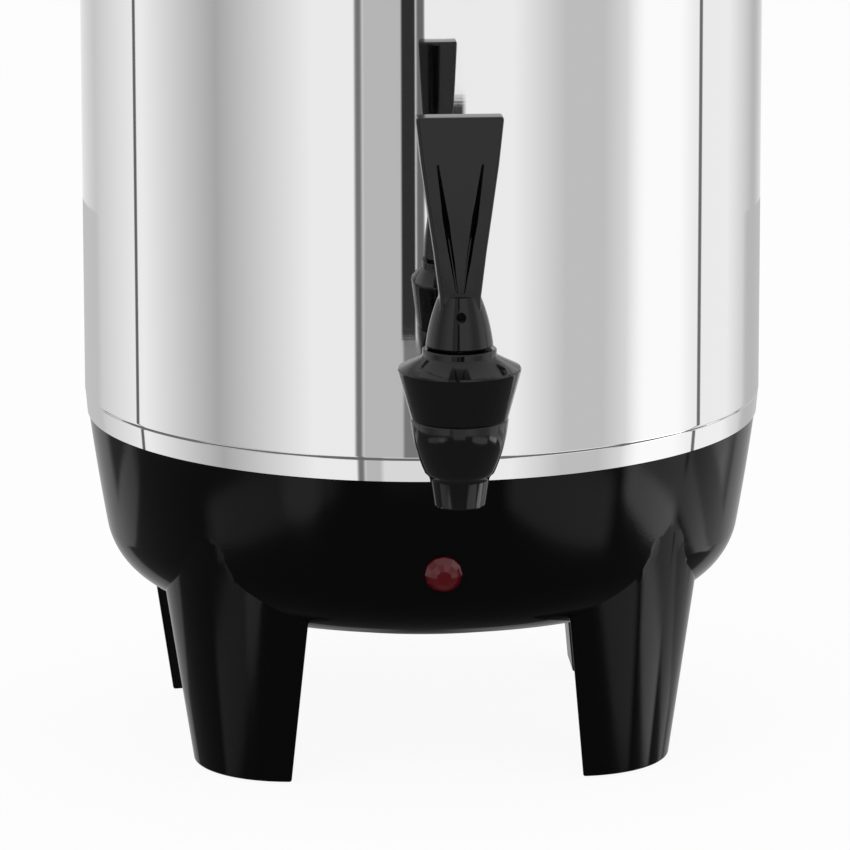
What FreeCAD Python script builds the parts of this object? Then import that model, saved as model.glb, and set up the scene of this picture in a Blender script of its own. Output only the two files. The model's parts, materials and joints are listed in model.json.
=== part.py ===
import FreeCAD, Part
import math
import os
import re
import Sketcher

# Coffee urn: a steel body on a moulded base with four legs, a lever tap and a percolator inside.
# Millimetres, +Z up, tap towards -Y. The origin is on the floor, under the middle of the whole outline.

doc = FreeCAD.newDocument("coffee_urn")
sheet = doc.addObject("Spreadsheet::Sheet", "Sizes")

# Driving sizes, each with what it measures
SIZES = [
    # Steel body
    ("body_radius", 117.5, "outside of the steel wall"),
    ("shell_wall", 0.8, "steel of the wall and of the tank floor"),
    ("shell_high", 264.5, "height of the steel wall"),
    ("crease_rise", 8.0, "from the base's rim up to the crease where the wall steps in"),
    ("tuck_step", 0.4, "step inwards under the crease"),
    ("tuck_high", 0.6, "height of that step"),
    ("tuck", 1.1, "how far the wall has come in at its foot"),
    ("roll_radius", 2.2, "bead rolled at the open top"),
    ("floor_rise", 12.5, "from the base's rim up to the tank floor's underside"),
    ("floor_flange", 5.0, "turned-up edge of the tank floor"),
    ("braze_gap", 0.05, "gap at a brazed or pressed joint"),
    # Moulded base
    ("bowl_deep", 64.7, "depth of the bowl, underside to rim"),
    ("rim_inset", 1.3, "how far the base's rim stays inside the wall's outside"),
    ("waist_rise", 25.8, "from the bowl's underside up to where its side starts to turn in"),
    ("waist_inset", 5.9, "how far the side has drawn in there, from the rim"),
    ("bowl_bulge", 24.0, "radius of the bowl's turn, seen in section"),
    ("cone_inset", 17.5, "inner end of that turn, inside its outer end"),
    ("cone_rise", 6.3, "inner end of the turn above the bowl's underside"),
    ("bowl_bottom", 48.8, "underside of the bowl"),
    ("bowl_turn", 40.6, "edge of the flat underside, inside the turn's outer end"),
    ("base_wall", 3.0, "wall of the moulding"),
    ("lip_height", 5.0, "lip that stands inside the steel wall's foot"),
    ("ledge_width", 10.0, "ledge that the bottom cover is pulled against"),
    ("cover_thick", 1.2, "steel of the bottom cover"),
    ("cover_gap", 0.3, "gap round the bottom cover"),
    ("cover_recess", 0.4, "how far the bottom cover lies above the bowl's underside"),
    # Legs, measured outwards along each leg's own middle line
    ("front_leg_turn", 45.0, "degrees from straight sideways to a front leg"),
    ("rear_leg_turn", 39.0, "degrees from straight sideways to a rear leg"),
    ("foot_pad", 0.8, "rubber under each leg"),
    ("pad_radius", 9.0, "radius of the rubber pad"),
    ("pad_stem", 3.0, "radius of the pad's stem"),
    ("pad_in", 13.2, "middle of a pad, inside the leg's outermost point"),
    ("leg_nose_in", 15.2, "outermost point of a leg at the floor, inside the wall's outside"),
    ("leg_edge_in", 9.1, "edges of its outer face at the floor, inside that point"),
    ("leg_half", 22.8, "half its width at the floor"),
    ("leg_back_in", 22.3, "its back at the floor, inside that point"),
    ("leg_back_half", 6.5, "half the width of its back at the floor"),
    ("leg_top_rise", 43.2, "from the bowl's underside up to where a leg is lost in it"),
    ("leg_top_nose_in", 4.5, "outermost point at that height, inside the wall's outside"),
    ("leg_top_edge_in", 16.0, "edges at that height, inside that point"),
    ("leg_top_half", 39.0, "half the width at that height"),
    ("leg_top_back_in", 29.0, "back at that height, inside that point"),
    ("leg_top_back_half", 23.0, "half the back's width at that height"),
    # Tie rods and heat shield
    ("rod_radius", 2.5, "tie rod below its shoulder"),
    ("rod_shoulder", 1.2, "how much thicker the rod is above its shoulder"),
    ("rod_clear", 0.3, "gap between a tie rod and the keep-warm ring"),
    ("rod_count", 3, "number of tie rods"),
    ("rod_hole_gap", 0.3, "gap round a rod in its hole"),
    ("rod_end", 1.6, "thread left below a tie nut"),
    ("tie_nut_wide", 9.2, "corner radius is half of this tie nut's width over corners"),
    ("tie_nut_high", 2.4, "tie nut"),
    ("shield_rise", 37.2, "from the bowl's underside up to the rod's shoulders"),
    ("shield_inset", 34.3, "heat shield's edge, inside the bowl's waist"),
    ("shield_thick", 0.8, "heat shield"),
    ("clip_radius", 6.0, "push-on clip under the heat shield"),
    ("clip_thick", 0.6, "push-on clip"),
    # Heater well in the middle of the tank floor
    ("well_radius", 23.7, "outside of the well"),
    ("well_wall", 3.0, "wall of the well"),
    ("well_flange", 30.0, "radius of the well's flange"),
    ("well_flange_thick", 1.8, "flange"),
    ("well_depth", 22.0, "from the tank floor down to the well's underside"),
    ("well_bottom", 2.6, "bottom of the well"),
    ("well_hole_gap", 0.3, "gap round the well in the floor's hole"),
    ("gasket_thick", 1.5, "well gasket"),
    ("well_nut_wide", 66.0, "well nut over its corners"),
    ("well_nut_high", 4.0, "well nut"),
    ("element_radius", 3.2, "heating tube"),
    ("element_gap", 0.3, "gap between the heating tube and the well"),
    ("element_rise", 6.0, "middle of the heating ring above the well's underside"),
    ("element_turn", 300.0, "degrees that the heating ring goes round"),
    ("warm_inner", 36.0, "keep-warm ring, inside"),
    ("warm_outer", 46.0, "keep-warm ring, outside"),
    ("warm_thick", 3.0, "keep-warm ring"),
    ("stud_radius", 2.5, "stud under the well"),
    ("stud_length", 17.0, "stud under the well"),
    ("sensor_radius", 7.5, "thermostat"),
    ("sensor_high", 8.0, "thermostat"),
    ("sensor_out", 13.0, "thermostat's distance from the stud"),
    ("fuse_radius", 2.0, "thermal fuse"),
    ("fuse_length", 11.0, "thermal fuse"),
    ("fuse_out", 11.0, "thermal fuse's distance from the stud"),
    ("bracket_thick", 1.2, "bracket under both"),
    ("bracket_width", 12.0, "bracket"),
    # Pilot lamp
    ("lamp_rise", 6.1, "middle of the lamp above the bowl's waist"),
    ("lamp_tilt", 8.6, "degrees that the lamp looks down, square to the bowl"),
    ("lens_radius", 6.4, "jewel lens"),
    ("lens_rise", 4.6, "jewel lens"),
    ("lens_facets", 12, "facets round the lens"),
    ("lamp_barrel", 4.6, "radius of the holder's barrel"),
    ("lamp_length", 24.0, "length of the barrel"),
    ("lamp_flange", 0.9, "holder's flange under the lens"),
    ("lamp_hole_gap", 0.2, "gap round the barrel"),
    ("lamp_nut_wide", 14.0, "lamp nut over its corners"),
    ("lamp_nut_high", 2.5, "lamp nut"),
    # Power inlet at the back
    ("inlet_rise", 8.4, "middle of the inlet above the bowl's waist"),
    ("boss_inset", 2.5, "flat face of the boss, inside the wall's outside"),
    ("boss_depth", 9.0, "thickness of the boss"),
    ("boss_width", 50.0, "boss"),
    ("boss_high", 32.0, "boss"),
    ("inlet_width", 28.0, "inlet's sleeve"),
    ("inlet_high", 20.0, "inlet's sleeve"),
    ("inlet_depth", 26.0, "sleeve behind its flange"),
    ("inlet_flange", 2.0, "flange"),
    ("inlet_flange_width", 46.0, "flange"),
    ("inlet_wall", 2.2, "wall of the socket"),
    ("socket_depth", 18.0, "socket, measured from the flange's face"),
    ("inlet_gap", 0.2, "gap round the sleeve"),
    ("pin_spread", 7.0, "outer pins from the middle"),
    ("pin_length", 16.0, "pin in the socket"),
    ("pin_tail", 8.0, "tail of a pin inside the base"),
    ("pin_wide", 4.0, "pin"),
    ("pin_thick", 2.0, "pin"),
    ("inlet_screw_out", 18.5, "inlet screws from the middle"),
    ("small_screw", 1.5, "radius of a small screw"),
    # Side handles
    ("handle_drop", 42.0, "middle of the side handles below the wall's top"),
    ("handle_out", 36.0, "how far a side handle stands out"),
    ("handle_half", 47.0, "half of its length"),
    ("handle_high", 20.0, "its height"),
    ("grip_thick", 13.0, "its grip"),
    ("handle_round", 4.0, "rounding of its edges"),
    ("handle_screw", 2.2, "radius of a handle screw"),
    ("handle_screw_turn", 19.0, "degrees from the handle's middle to its screws"),
    ("handle_screw_long", 14.0, "handle screw"),
    ("handle_gap", 0.1, "gap between a handle's end and the wall"),
    ("washer_thick", 1.0, "sealing washer inside the wall"),
    # Lid
    ("lid_over", 3.5, "how far the lid's rim stands over the wall's outside"),
    ("lid_thick", 1.0, "lid's sheet"),
    ("lid_skirt", 10.0, "skirt that goes down inside the wall"),
    ("lid_fit", 1.0, "gap between the skirt and the wall"),
    ("lid_seat_gap", 0.2, "gap between the lid and the rolled bead"),
    ("lid_step", 5.0, "upright step of the lid"),
    ("lid_rise", 17.0, "dome of the lid above that step"),
    ("knob_radius", 19.0, "lid knob"),
    ("knob_neck", 9.0, "its neck"),
    ("knob_high", 30.0, "its height"),
    ("knob_screw", 2.5, "radius of its screw"),
    # Percolator
    ("tube_radius", 4.0, "pump tube"),
    ("tube_wall", 0.7, "pump tube"),
    ("tube_over", 8.0, "top of the pump tube above the wall's top"),
    ("foot_gap", 0.8, "gap round the pump's foot in the well"),
    ("foot_high", 14.0, "pump's foot"),
    ("foot_wall", 1.2, "pump's foot"),
    ("basket_radius", 50.0, "filter basket"),
    ("basket_drop", 72.0, "underside of the basket below the wall's top"),
    ("basket_high", 56.0, "basket"),
    ("basket_wall", 0.8, "basket"),
    ("basket_fit", 0.4, "gap round the tube in the basket and in its cover"),
    ("basket_holes", 14, "holes in the outer ring of the basket's bottom"),
    ("cover_plate", 0.8, "basket cover"),
    ("stop_radius", 8.0, "collar on the tube under the basket"),
    # Tap
    ("tap_reach", 72.0, "from the steel wall to the tap's axis"),
    ("shank_rise", 17.0, "axis of the shank above the tank floor's underside"),
    ("shank_radius", 7.8, "shank"),
    ("shank_bore", 5.2, "shank"),
    ("shank_inside", 12.0, "length of shank inside the wall"),
    ("shank_hole_gap", 0.3, "gap round the shank in the wall"),
    ("thread_gap", 0.05, "radial gap of a screwed joint"),
    ("shank_flange", 12.5, "shoulder of the shank outside the wall"),
    ("shank_flange_thick", 3.0, "shoulder"),
    ("seal_radius", 11.6, "silicone seals of the shank"),
    ("seal_thick", 2.6, "silicone seals"),
    ("shank_nut_wide", 25.0, "nut inside over its corners"),
    ("shank_nut_high", 4.5, "nut inside"),
    ("neck_radius", 8.4, "spout's neck towards the wall"),
    ("neck_length", 24.0, "neck, from the tap's axis"),
    ("seam_rise", 8.9, "seam between spout and bonnet above the shank's axis"),
    ("spout_radius", 15.7, "spout at the seam"),
    ("spout_drop", 8.8, "where the bowl of the spout ends, below the shank's axis"),
    ("spout_foot_radius", 11.2, "spout there"),
    ("spout_bulge", 52.0, "radius of the spout's side, seen in section"),
    ("nozzle_step", 1.6, "hollow between the spout's foot and the nozzle's top"),
    ("nozzle_top", 9.6, "nozzle's outside at its top"),
    ("nozzle_radius", 8.3, "nozzle's outside at its end"),
    ("nozzle_long", 10.8, "from the spout's foot down to the nozzle's end"),
    ("nozzle_bore", 6.4, "nozzle's bore"),
    ("seat_drop", 6.0, "valve seat below the shank's axis"),
    ("seat_bore", 5.0, "valve seat"),
    ("seat_web", 3.0, "thickness of the web that holds the seat"),
    ("chamber_radius", 11.0, "chamber above the seat"),
    ("collar_radius", 13.4, "spout's threaded collar inside the bonnet"),
    ("collar_high", 6.0, "that collar"),
    ("bonnet_radius", 19.8, "bonnet at its widest"),
    ("bonnet_side", 16.3, "from the seam up to the bonnet's widest edge"),
    ("bonnet_slope", 4.2, "height of the bonnet's slope above that edge"),
    ("bonnet_lip", 11.9, "raised lip round the stem"),
    ("lip_high", 2.4, "height of the lip round the stem"),
    ("spring_room", 8.6, "radius of the spring's room in the bonnet"),
    ("ceiling_drop", 1.2, "spring room's ceiling below the bonnet's widest edge"),
    ("stem_radius", 3.0, "valve stem"),
    ("stem_fit", 0.05, "gap round the stem"),
    ("stem_collar", 6.5, "collar that carries the spring"),
    ("stem_collar_thick", 1.6, "that collar"),
    ("spring_drop", 0.4, "lower end of the spring below the seam"),
    ("spring_radius", 5.6, "inside of the spring"),
    ("spring_wire", 1.0, "wire of the spring"),
    ("cup_radius", 7.6, "silicone seat cup"),
    ("cup_high", 9.0, "silicone seat cup"),
    ("cup_gap", 0.05, "gap under the seat cup"),
    # Lever of the tap
    ("pivot_rise", 6.7, "lever's pin above the lip"),
    ("pivot_pin", 1.5, "radius of the pin"),
    ("pin_fit", 0.05, "gap round the pin in the stem"),
    ("skirt_gap", 0.7, "gap between the lever's skirt and the lip"),
    ("skirt_radius", 10.8, "skirt at its bottom"),
    ("skirt_inside", 8.0, "room inside the skirt at its bottom"),
    ("skirt_room_rise", 6.5, "top of the room inside the skirt above the pin"),
    ("skirt_room_end", 5.3, "that room's radius at its top"),
    ("skirt_high", 16.7, "height of the skirt up to the lever's waist"),
    ("lever_waist", 6.6, "radius of the waist"),
    ("lever_long", 57.8, "from the waist up to the lever's top"),
    ("lever_half", 14.1, "half its width at the top"),
    ("lever_thick", 8.0, "its thickness at the top"),
    ("lever_waist_thick", 11.0, "its thickness at the waist"),
    ("lever_round", 1.1, "rounding of its edges"),
    ("groove_deep", 4.6, "its two V grooves"),
    ("groove_rise", 2.8, "from the waist up to where the grooves meet"),
    ("groove_drop", 15.0, "upper ends of the grooves below the lever's top"),
    ("groove_out", 7.2, "outer corner of a groove at its upper end"),
    ("groove_in", 5.4, "inner corner of a groove at its upper end"),
    ("panel_deep", 0.7, "panel sunk between the lever's two borders"),
    ("panel_half", 9.8, "half the panel's width at the top"),
    ("dimple_rise", 4.8, "dimple in the skirt's front above the pin"),
    ("dimple_radius", 1.6, "that dimple"),
]
for row, (alias, number, meaning) in enumerate(SIZES, start=1):
    sheet.set(f"A{row}", meaning)
    sheet.set(f"B{row}", str(number))
    sheet.setAlias(f"B{row}", alias)
doc.recompute()
ALIASES = {alias for alias, _, _ in SIZES}

# Places that follow from the sizes above
PLACES = {
    "crease_height": "rim_height + crease_rise",
    "floor_height": "rim_height + floor_rise",
    "rim_height": "bowl_bottom + bowl_deep",
    "shell_top": "rim_height + shell_high",
    "rim_radius": "body_radius - rim_inset",
    "waist_height": "bowl_bottom + waist_rise",
    "waist_radius": "rim_radius - waist_inset",
    "bowl_flat": "waist_radius - bowl_turn",
    "cone_radius": "waist_radius - cone_inset",
    "cone_height": "bowl_bottom + cone_rise",
    "leg_nose": "body_radius - leg_nose_in",
    "leg_edge": "leg_nose - leg_edge_in",
    "leg_back": "leg_nose - leg_back_in",
    "leg_top": "bowl_bottom + leg_top_rise",
    "leg_top_nose": "body_radius - leg_top_nose_in",
    "leg_top_edge": "leg_top_nose - leg_top_edge_in",
    "leg_top_back": "leg_top_nose - leg_top_back_in",
    "pad_out": "leg_nose - pad_in",
    "rod_circle": "warm_outer + rod_radius + rod_shoulder + rod_clear",
    "shield_height": "bowl_bottom + shield_rise",
    "shield_radius": "waist_radius - shield_inset",
    "element_height": "floor_height - well_depth + element_rise",
    "lamp_height": "waist_height + lamp_rise",
    "inlet_height": "waist_height + inlet_rise",
    "boss_face": "body_radius - boss_inset",
    "handle_height": "shell_top - handle_drop",
    "lid_radius": "body_radius + lid_over",
    "tube_top": "shell_top + tube_over",
    "basket_bottom": "shell_top - basket_drop",
    "shank_height": "floor_height + shank_rise",
    "seam_height": "shank_height + seam_rise",
    "spout_foot": "shank_height - spout_drop",
    "nozzle_end": "spout_foot - nozzle_long",
    "seat_height": "shank_height - seat_drop",
    "bonnet_shoulder": "seam_height + bonnet_side",
    "bonnet_top": "bonnet_shoulder + bonnet_slope",
    "lip_top": "bonnet_top + lip_high",
    "spring_ceiling": "bonnet_shoulder - ceiling_drop",
    "spring_foot": "seam_height - spring_drop",
    "pivot_height": "lip_top + pivot_rise",
    "skirt_bottom": "lip_top + skirt_gap",
    "skirt_room_top": "pivot_height + skirt_room_rise",
    "waist_z": "skirt_bottom + skirt_high",
    "lever_top": "waist_z + lever_long",
    "groove_low": "waist_z + groove_rise",
    "groove_high": "lever_top - groove_drop",
    "dimple_height": "pivot_height + dimple_rise",
}

# Depth of the whole outline: the tap's bonnet in front, the lid's rim behind
AXIS_Y = "(body_radius + tap_reach + bonnet_radius - lid_radius) / 2"
TAP_Y = f"{AXIS_Y} - body_radius - tap_reach"
X, Y, Z = FreeCAD.Vector(1, 0, 0), FreeCAD.Vector(0, 1, 0), FreeCAD.Vector(0, 0, 1)
NODES = []


def bound(text):
    """The same expression with every place worked out and every size read from the sheet."""
    def spell(match):
        word = match[0]
        if word in PLACES:
            return f"({bound(PLACES[word])})"
        return f"Sizes.{word}" if word in ALIASES else word

    return re.sub(r"[a-z][a-z0-9_]*", spell, text)


def size(text):
    """The expression's number in millimetres or degrees."""
    return float(sheet.evalExpression(bound(text)))


def place(thing, x="0", y="0", z="0", turn=None):
    """Puts a piece at a place bound to the sheet, turned as given."""
    thing.Placement = FreeCAD.Placement(FreeCAD.Vector(size(x), size(y), size(z)), turn or FreeCAD.Rotation())
    for letter, text in (("x", x), ("y", y), ("z", z)):
        thing.setExpression(f"Placement.Base.{letter}", bound(text))
    return thing


def node(thing, label, y=AXIS_Y, x="0", z="0", turn=None):
    """Names a finished piece and puts it on the urn's axis, or at the place given."""
    thing.Label = label
    place(thing, x, y, z, turn)
    NODES.append(thing)
    return thing


def new_body(name):
    body = doc.addObject("PartDesign::Body", name)
    body.AllowCompound = True
    return body


def origin_plane(body, role):
    return next(f for f in body.Origin.OriginFeatures if f.Role == role)


def sketch_on(body, name, role, lift="0", turn=0.0):
    """An empty sketch on one of the body's own planes, lifted off it and turned in it."""
    sketch = body.newObject("Sketcher::SketchObject", name)
    sketch.AttachmentSupport = [(origin_plane(body, role), "")]
    sketch.MapMode = "FlatFace"
    offset = FreeCAD.Vector(0, 0, size(lift))
    sketch.AttachmentOffset = FreeCAD.Placement(offset, FreeCAD.Rotation(Z, turn))
    sketch.setExpression("AttachmentOffset.Base.z", bound(lift))
    return sketch


def arc_between(start, end, radius, side):
    """The arc from start to end, bulging left (side 1) or right (side -1), and whether it is backwards."""
    chord = end - start
    left = FreeCAD.Vector(-chord.y, chord.x, 0).normalize()
    reach = math.sqrt(max(radius**2 - chord.Length**2 / 4, 0.0))
    centre = (start + end) / 2 - left * reach * side
    first, last = (end, start) if side > 0 else (start, end)
    angles = [math.atan2((p - centre).y, (p - centre).x) for p in (first, last)]
    return Part.ArcOfCircle(Part.Circle(centre, Z, radius), angles[0], angles[1]), side > 0


def draw(sketch, corners):
    """Closes an outline through corners (x, y); an arc leaves a corner (x, y, radius, side)."""
    points = [FreeCAD.Vector(size(c[0]), size(c[1]), 0) for c in corners]
    first_geometry = sketch.GeometryCount
    ends = []
    for i, corner in enumerate(corners):
        start, end = points[i], points[(i + 1) % len(points)]
        if len(corner) == 2:
            line = sketch.addGeometry(Part.LineSegment(start, end), False)
            ends.append((line, 1, 2))
            continue
        arc, backwards = arc_between(start, end, size(corner[2]), corner[3])
        index = sketch.addGeometry(arc, False)
        ends.append((index, 2, 1) if backwards else (index, 1, 2))
    for i, (index, start, end) in enumerate(ends):
        after, after_start, _ = ends[(i + 1) % len(ends)]
        sketch.addConstraint(Sketcher.Constraint("Coincident", index, end, after, after_start))
    for (index, start, _), corner, point in zip(ends, corners, points):
        for kind, number, text in (("DistanceX", point.x, corner[0]), ("DistanceY", point.y, corner[1])):
            key = sketch.addConstraint(Sketcher.Constraint(kind, -1, 1, index, start, number))
            sketch.setExpression(f"Constraints[{key}]", bound(text))
        if len(corner) > 2:
            key = sketch.addConstraint(Sketcher.Constraint("Radius", index, size(corner[2])))
            sketch.setExpression(f"Constraints[{key}]", bound(corner[2]))
    return first_geometry


def circle(sketch, x, y, radius):
    index = sketch.addGeometry(Part.Circle(FreeCAD.Vector(size(x), size(y), 0), Z, size(radius)), False)
    for kind, text in (("DistanceX", x), ("DistanceY", y)):
        key = sketch.addConstraint(Sketcher.Constraint(kind, -1, 1, index, 3, size(text)))
        sketch.setExpression(f"Constraints[{key}]", bound(text))
    key = sketch.addConstraint(Sketcher.Constraint("Radius", index, size(radius)))
    sketch.setExpression(f"Constraints[{key}]", bound(radius))


def feature(body, kind, name, sketch, **values):
    made = body.newObject(f"PartDesign::{kind}", name)
    made.Profile = sketch
    for key, value in values.items():
        setattr(made, key, value)
    return made


def revolve(body, name, corners, kind="Revolution"):
    """Turns an outline of (radius, height) corners about the body's own Z axis."""
    sketch = sketch_on(body, f"{name}_outline", "XZ_Plane")
    draw(sketch, corners)
    return feature(body, kind, name, sketch, ReferenceAxis=(sketch, ["V_Axis"]), Angle=360.0)


def turned(label, corners, **where):
    """A piece that is one turned outline."""
    body = new_body(label)
    revolve(body, f"{label}_turn", corners)
    return node(body, label, **where)


def pad(body, name, role, corners, lift, length, kind="Pad", turn=0.0, reverse=False):
    """Pads or pockets an outline drawn on a plane of the body."""
    sketch = sketch_on(body, f"{name}_outline", role, lift, turn)
    draw(sketch, corners)
    made = feature(body, kind, name, sketch, Reversed=reverse)
    made.setExpression("Length", bound(length))
    return made


def loft(body, name, kind, low, high, low_height, high_height, turn):
    """Joins two outlines at two heights with straight sides."""
    bottom = sketch_on(body, f"{name}_low", "XY_Plane", low_height, turn)
    draw(bottom, low)
    top = sketch_on(body, f"{name}_high", "XY_Plane", high_height, turn)
    draw(top, high)
    made = feature(body, kind, name, bottom, Ruled=True)
    made.Sections = [top]
    return made


def polar(body, name, originals, count):
    """Repeats features evenly round the body's Z axis."""
    made = body.newObject("PartDesign::PolarPattern", name)
    made.Originals = originals
    made.Axis = (next(f for f in body.Origin.OriginFeatures if f.Role == "Z_Axis"), [""])
    made.Angle = 360.0
    made.setExpression("Occurrences", bound(count))
    body.Tip = made
    return made


def pair(body, name, original):
    """Repeats a feature on the other side of the urn's middle plane."""
    made = body.newObject("PartDesign::Mirrored", name)
    made.Originals = [original]
    made.MirrorPlane = (origin_plane(body, "YZ_Plane"), [""])
    body.Tip = made
    return made


def primitive(kind, name, values, x="0", y="0", z="0", turn=None):
    """A box, cylinder, cone, prism or torus with its sizes bound to the sheet."""
    made = doc.addObject(f"Part::{kind}", name)
    for key, text in values.items():
        made.setExpression(key, bound(text))
    return place(made, x, y, z, turn)


def cylinder(name, radius, height, **where):
    return primitive("Cylinder", name, {"Radius": radius, "Height": height}, **where)


def hexagon(name, over_corners, height, **where):
    made = primitive("Prism", name, {"Circumradius": f"({over_corners}) / 2", "Height": height}, **where)
    made.Polygon = 6
    return made


def box(name, width, depth, height, x="0", y="0", z="0"):
    """A box centred on x, with its lowest y and z as given."""
    values = {"Length": width, "Width": depth, "Height": height}
    return primitive("Box", name, values, x=f"{x} - ({width}) / 2", y=y, z=z)


def fuse(name, pieces):
    made = doc.addObject("Part::MultiFuse", name)
    made.Shapes = pieces
    made.Refine = True
    return made


def cut(name, base, tools):
    """The base with every tool taken away."""
    made = doc.addObject("Part::Cut", name)
    made.Base = base
    made.Tool = tools[0] if len(tools) == 1 else fuse(f"{name}_tools", tools)
    made.Refine = True
    return made


def group(name, pieces):
    made = doc.addObject("Part::Compound", name)
    made.Links = pieces
    return made


def around(index, count, radius, first="0"):
    """The x and y texts of one place on a circle round the urn's axis."""
    angle = f"({first} + {index} * 360 / {count}) * 1 deg"
    return f"({radius}) * cos({angle})", f"({radius}) * sin({angle})"


# Directions in which turned pieces are laid down
FORWARD = FreeCAD.Rotation(X, 90)
BACKWARD = FreeCAD.Rotation(X, -90)

# Moulded base: a bowl with four hollow legs grown out of it, the rear two turned further out to the sides
LEG_TURNS = ("-front_leg_turn", "rear_leg_turn")
PAD_TURNS = [turn for angle in LEG_TURNS for turn in (angle, f"180 - ({angle})")]


def pad_place(angle):
    """The x and y texts of a rubber pad under the leg at an angle."""
    return f"pad_out * cos(({angle}) * 1 deg)", f"pad_out * sin(({angle}) * 1 deg)"


def leg_outline(nose, edge, half, back, back_half):
    """A leg's outline, outwards along X: a rounded face, two straight flanks and a flat back."""
    rise = f"(({nose}) - ({edge}))"
    bulge = f"(({half})^2 + {rise}^2) / (2 * {rise})"
    return [
        (edge, f"-({half})", bulge, -1),
        (edge, half),
        (back, back_half),
        (back, f"-({back_half})"),
    ]


def base_moulding():
    body = new_body("base_moulding")
    # Full bowl, hollowed later
    revolve(body, "bowl", [
        ("0", "bowl_bottom"),
        ("bowl_flat", "bowl_bottom"),
        ("cone_radius", "cone_height", "bowl_bulge", -1),
        ("waist_radius", "waist_height"),
        ("rim_radius", "rim_height"),
        ("body_radius - tuck - shell_wall - cover_gap", "rim_height"),
        ("body_radius - tuck - shell_wall - cover_gap", "rim_height + lip_height"),
        ("0", "rim_height + lip_height"),
    ])
    for i, turn in enumerate(LEG_TURNS):
        leg = loft(
            body, f"leg_{i}", "AdditiveLoft",
            leg_outline("leg_nose", "leg_edge", "leg_half", "leg_back", "leg_back_half"),
            leg_outline("leg_top_nose", "leg_top_edge", "leg_top_half", "leg_top_back", "leg_top_back_half"),
            "foot_pad", "leg_top", size(turn),
        )
        pair(body, f"leg_pair_{i}", leg)
    # Room inside the bowl, open at the top and, inside the ledge, at the bottom
    revolve(body, "bowl_room", [
        ("0", "bowl_bottom - 1"),
        ("bowl_flat - base_wall - cover_gap", "bowl_bottom - 1"),
        ("bowl_flat - base_wall - cover_gap", "bowl_bottom + cover_recess + cover_thick"),
        ("bowl_flat - base_wall - ledge_width", "bowl_bottom + cover_recess + cover_thick"),
        ("bowl_flat - base_wall - ledge_width", "bowl_bottom + cover_recess + cover_thick + base_wall"),
        ("bowl_flat + 1.8 * base_wall", "bowl_bottom + cover_recess + cover_thick + base_wall"),
        ("cone_radius - 0.263 * base_wall", "cone_height + 0.965 * base_wall", "bowl_bulge - base_wall", -1),
        ("waist_radius - 0.989 * base_wall", "waist_height + 0.15 * base_wall"),
        ("rim_radius - 2 * base_wall", "rim_height"),
        ("rim_radius - 2 * base_wall", "rim_height + lip_height + 1"),
        ("0", "rim_height + lip_height + 1"),
    ], "Groove")
    # Hollow of each leg, open to the bowl and closed at the floor
    for i, turn in enumerate(LEG_TURNS):
        hollow = loft(
            body, f"leg_room_{i}", "SubtractiveLoft",
            leg_outline("leg_nose - base_wall", "leg_edge - base_wall / 2", "leg_half - base_wall * 1.9",
                        "leg_back + base_wall", "leg_back_half - base_wall * 0.9"),
            leg_outline("leg_top_nose - base_wall * 1.1", "leg_top_edge - base_wall / 2",
                        "leg_top_half - base_wall * 1.9", "leg_top_back + base_wall",
                        "leg_top_back_half - base_wall * 0.9"),
            "foot_pad + base_wall", "leg_top - 1", size(turn),
        )
        pair(body, f"leg_room_pair_{i}", hollow)
    return body


def base_housing():
    boss = box("inlet_boss", "boss_width", "boss_depth", "boss_high",
               y="boss_face - boss_depth", z="inlet_height - boss_high / 2")
    whole = fuse("base_with_boss", [base_moulding(), boss])
    holes = [
        lamp_piece(cylinder("lamp_hole", "lamp_barrel + lamp_hole_gap", "4 * base_wall"), "2 * base_wall"),
        lamp_piece(cylinder("lamp_seat_outside", "lens_radius + 0.8", "base_wall"), "lamp_flange"),
        lamp_piece(cylinder("lamp_seat_inside", "lamp_nut_wide / 2 + 0.8", "2 * base_wall"),
                   f"{LAMP_SEAT} + 2 * base_wall"),
        box("inlet_hole", "inlet_width + 2 * inlet_gap", "3 * boss_depth", "inlet_high + 2 * inlet_gap",
            y="boss_face - 2 * boss_depth", z="inlet_height - inlet_high / 2 - inlet_gap"),
    ]
    for side in ("-1", "1"):
        holes.append(cylinder(f"inlet_screw_hole_{len(holes)}", "small_screw + braze_gap", "2 * boss_depth",
                              x=f"{side} * inlet_screw_out", y="boss_face - 1.5 * boss_depth", z="inlet_height",
                              turn=BACKWARD))
    for i, angle in enumerate(PAD_TURNS):
        x, y = pad_place(angle)
        holes.append(cylinder(f"pad_hole_{i}", "pad_stem + thread_gap", "2 * base_wall", x=x, y=y))
    return node(cut("base_housing", whole, holes), "base_housing")


LAMP_SEAT = "(lamp_flange + 0.8 * base_wall)"
LAMP_FACE = "waist_radius + (lamp_height - waist_height) * tan(lamp_tilt * 1 deg) + lamp_flange / 4"


def lamp_piece(thing, back="0", y_extra="0"):
    """Lays a piece along the lamp's axis, its own Z outwards, the given length inside the bowl's face."""
    turn = FreeCAD.Rotation(X, 90 + size("lamp_tilt"))
    inwards = f"({back}) * cos(lamp_tilt * 1 deg)"
    upwards = f"({back}) * sin(lamp_tilt * 1 deg)"
    return place(thing, y=f"{y_extra} - ({LAMP_FACE}) + {inwards}", z=f"lamp_height + {upwards}", turn=turn)


def lamp_node(thing, label, back="0"):
    thing.Label = label
    lamp_piece(thing, back, AXIS_Y)
    NODES.append(thing)
    return thing


base_housing()

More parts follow.
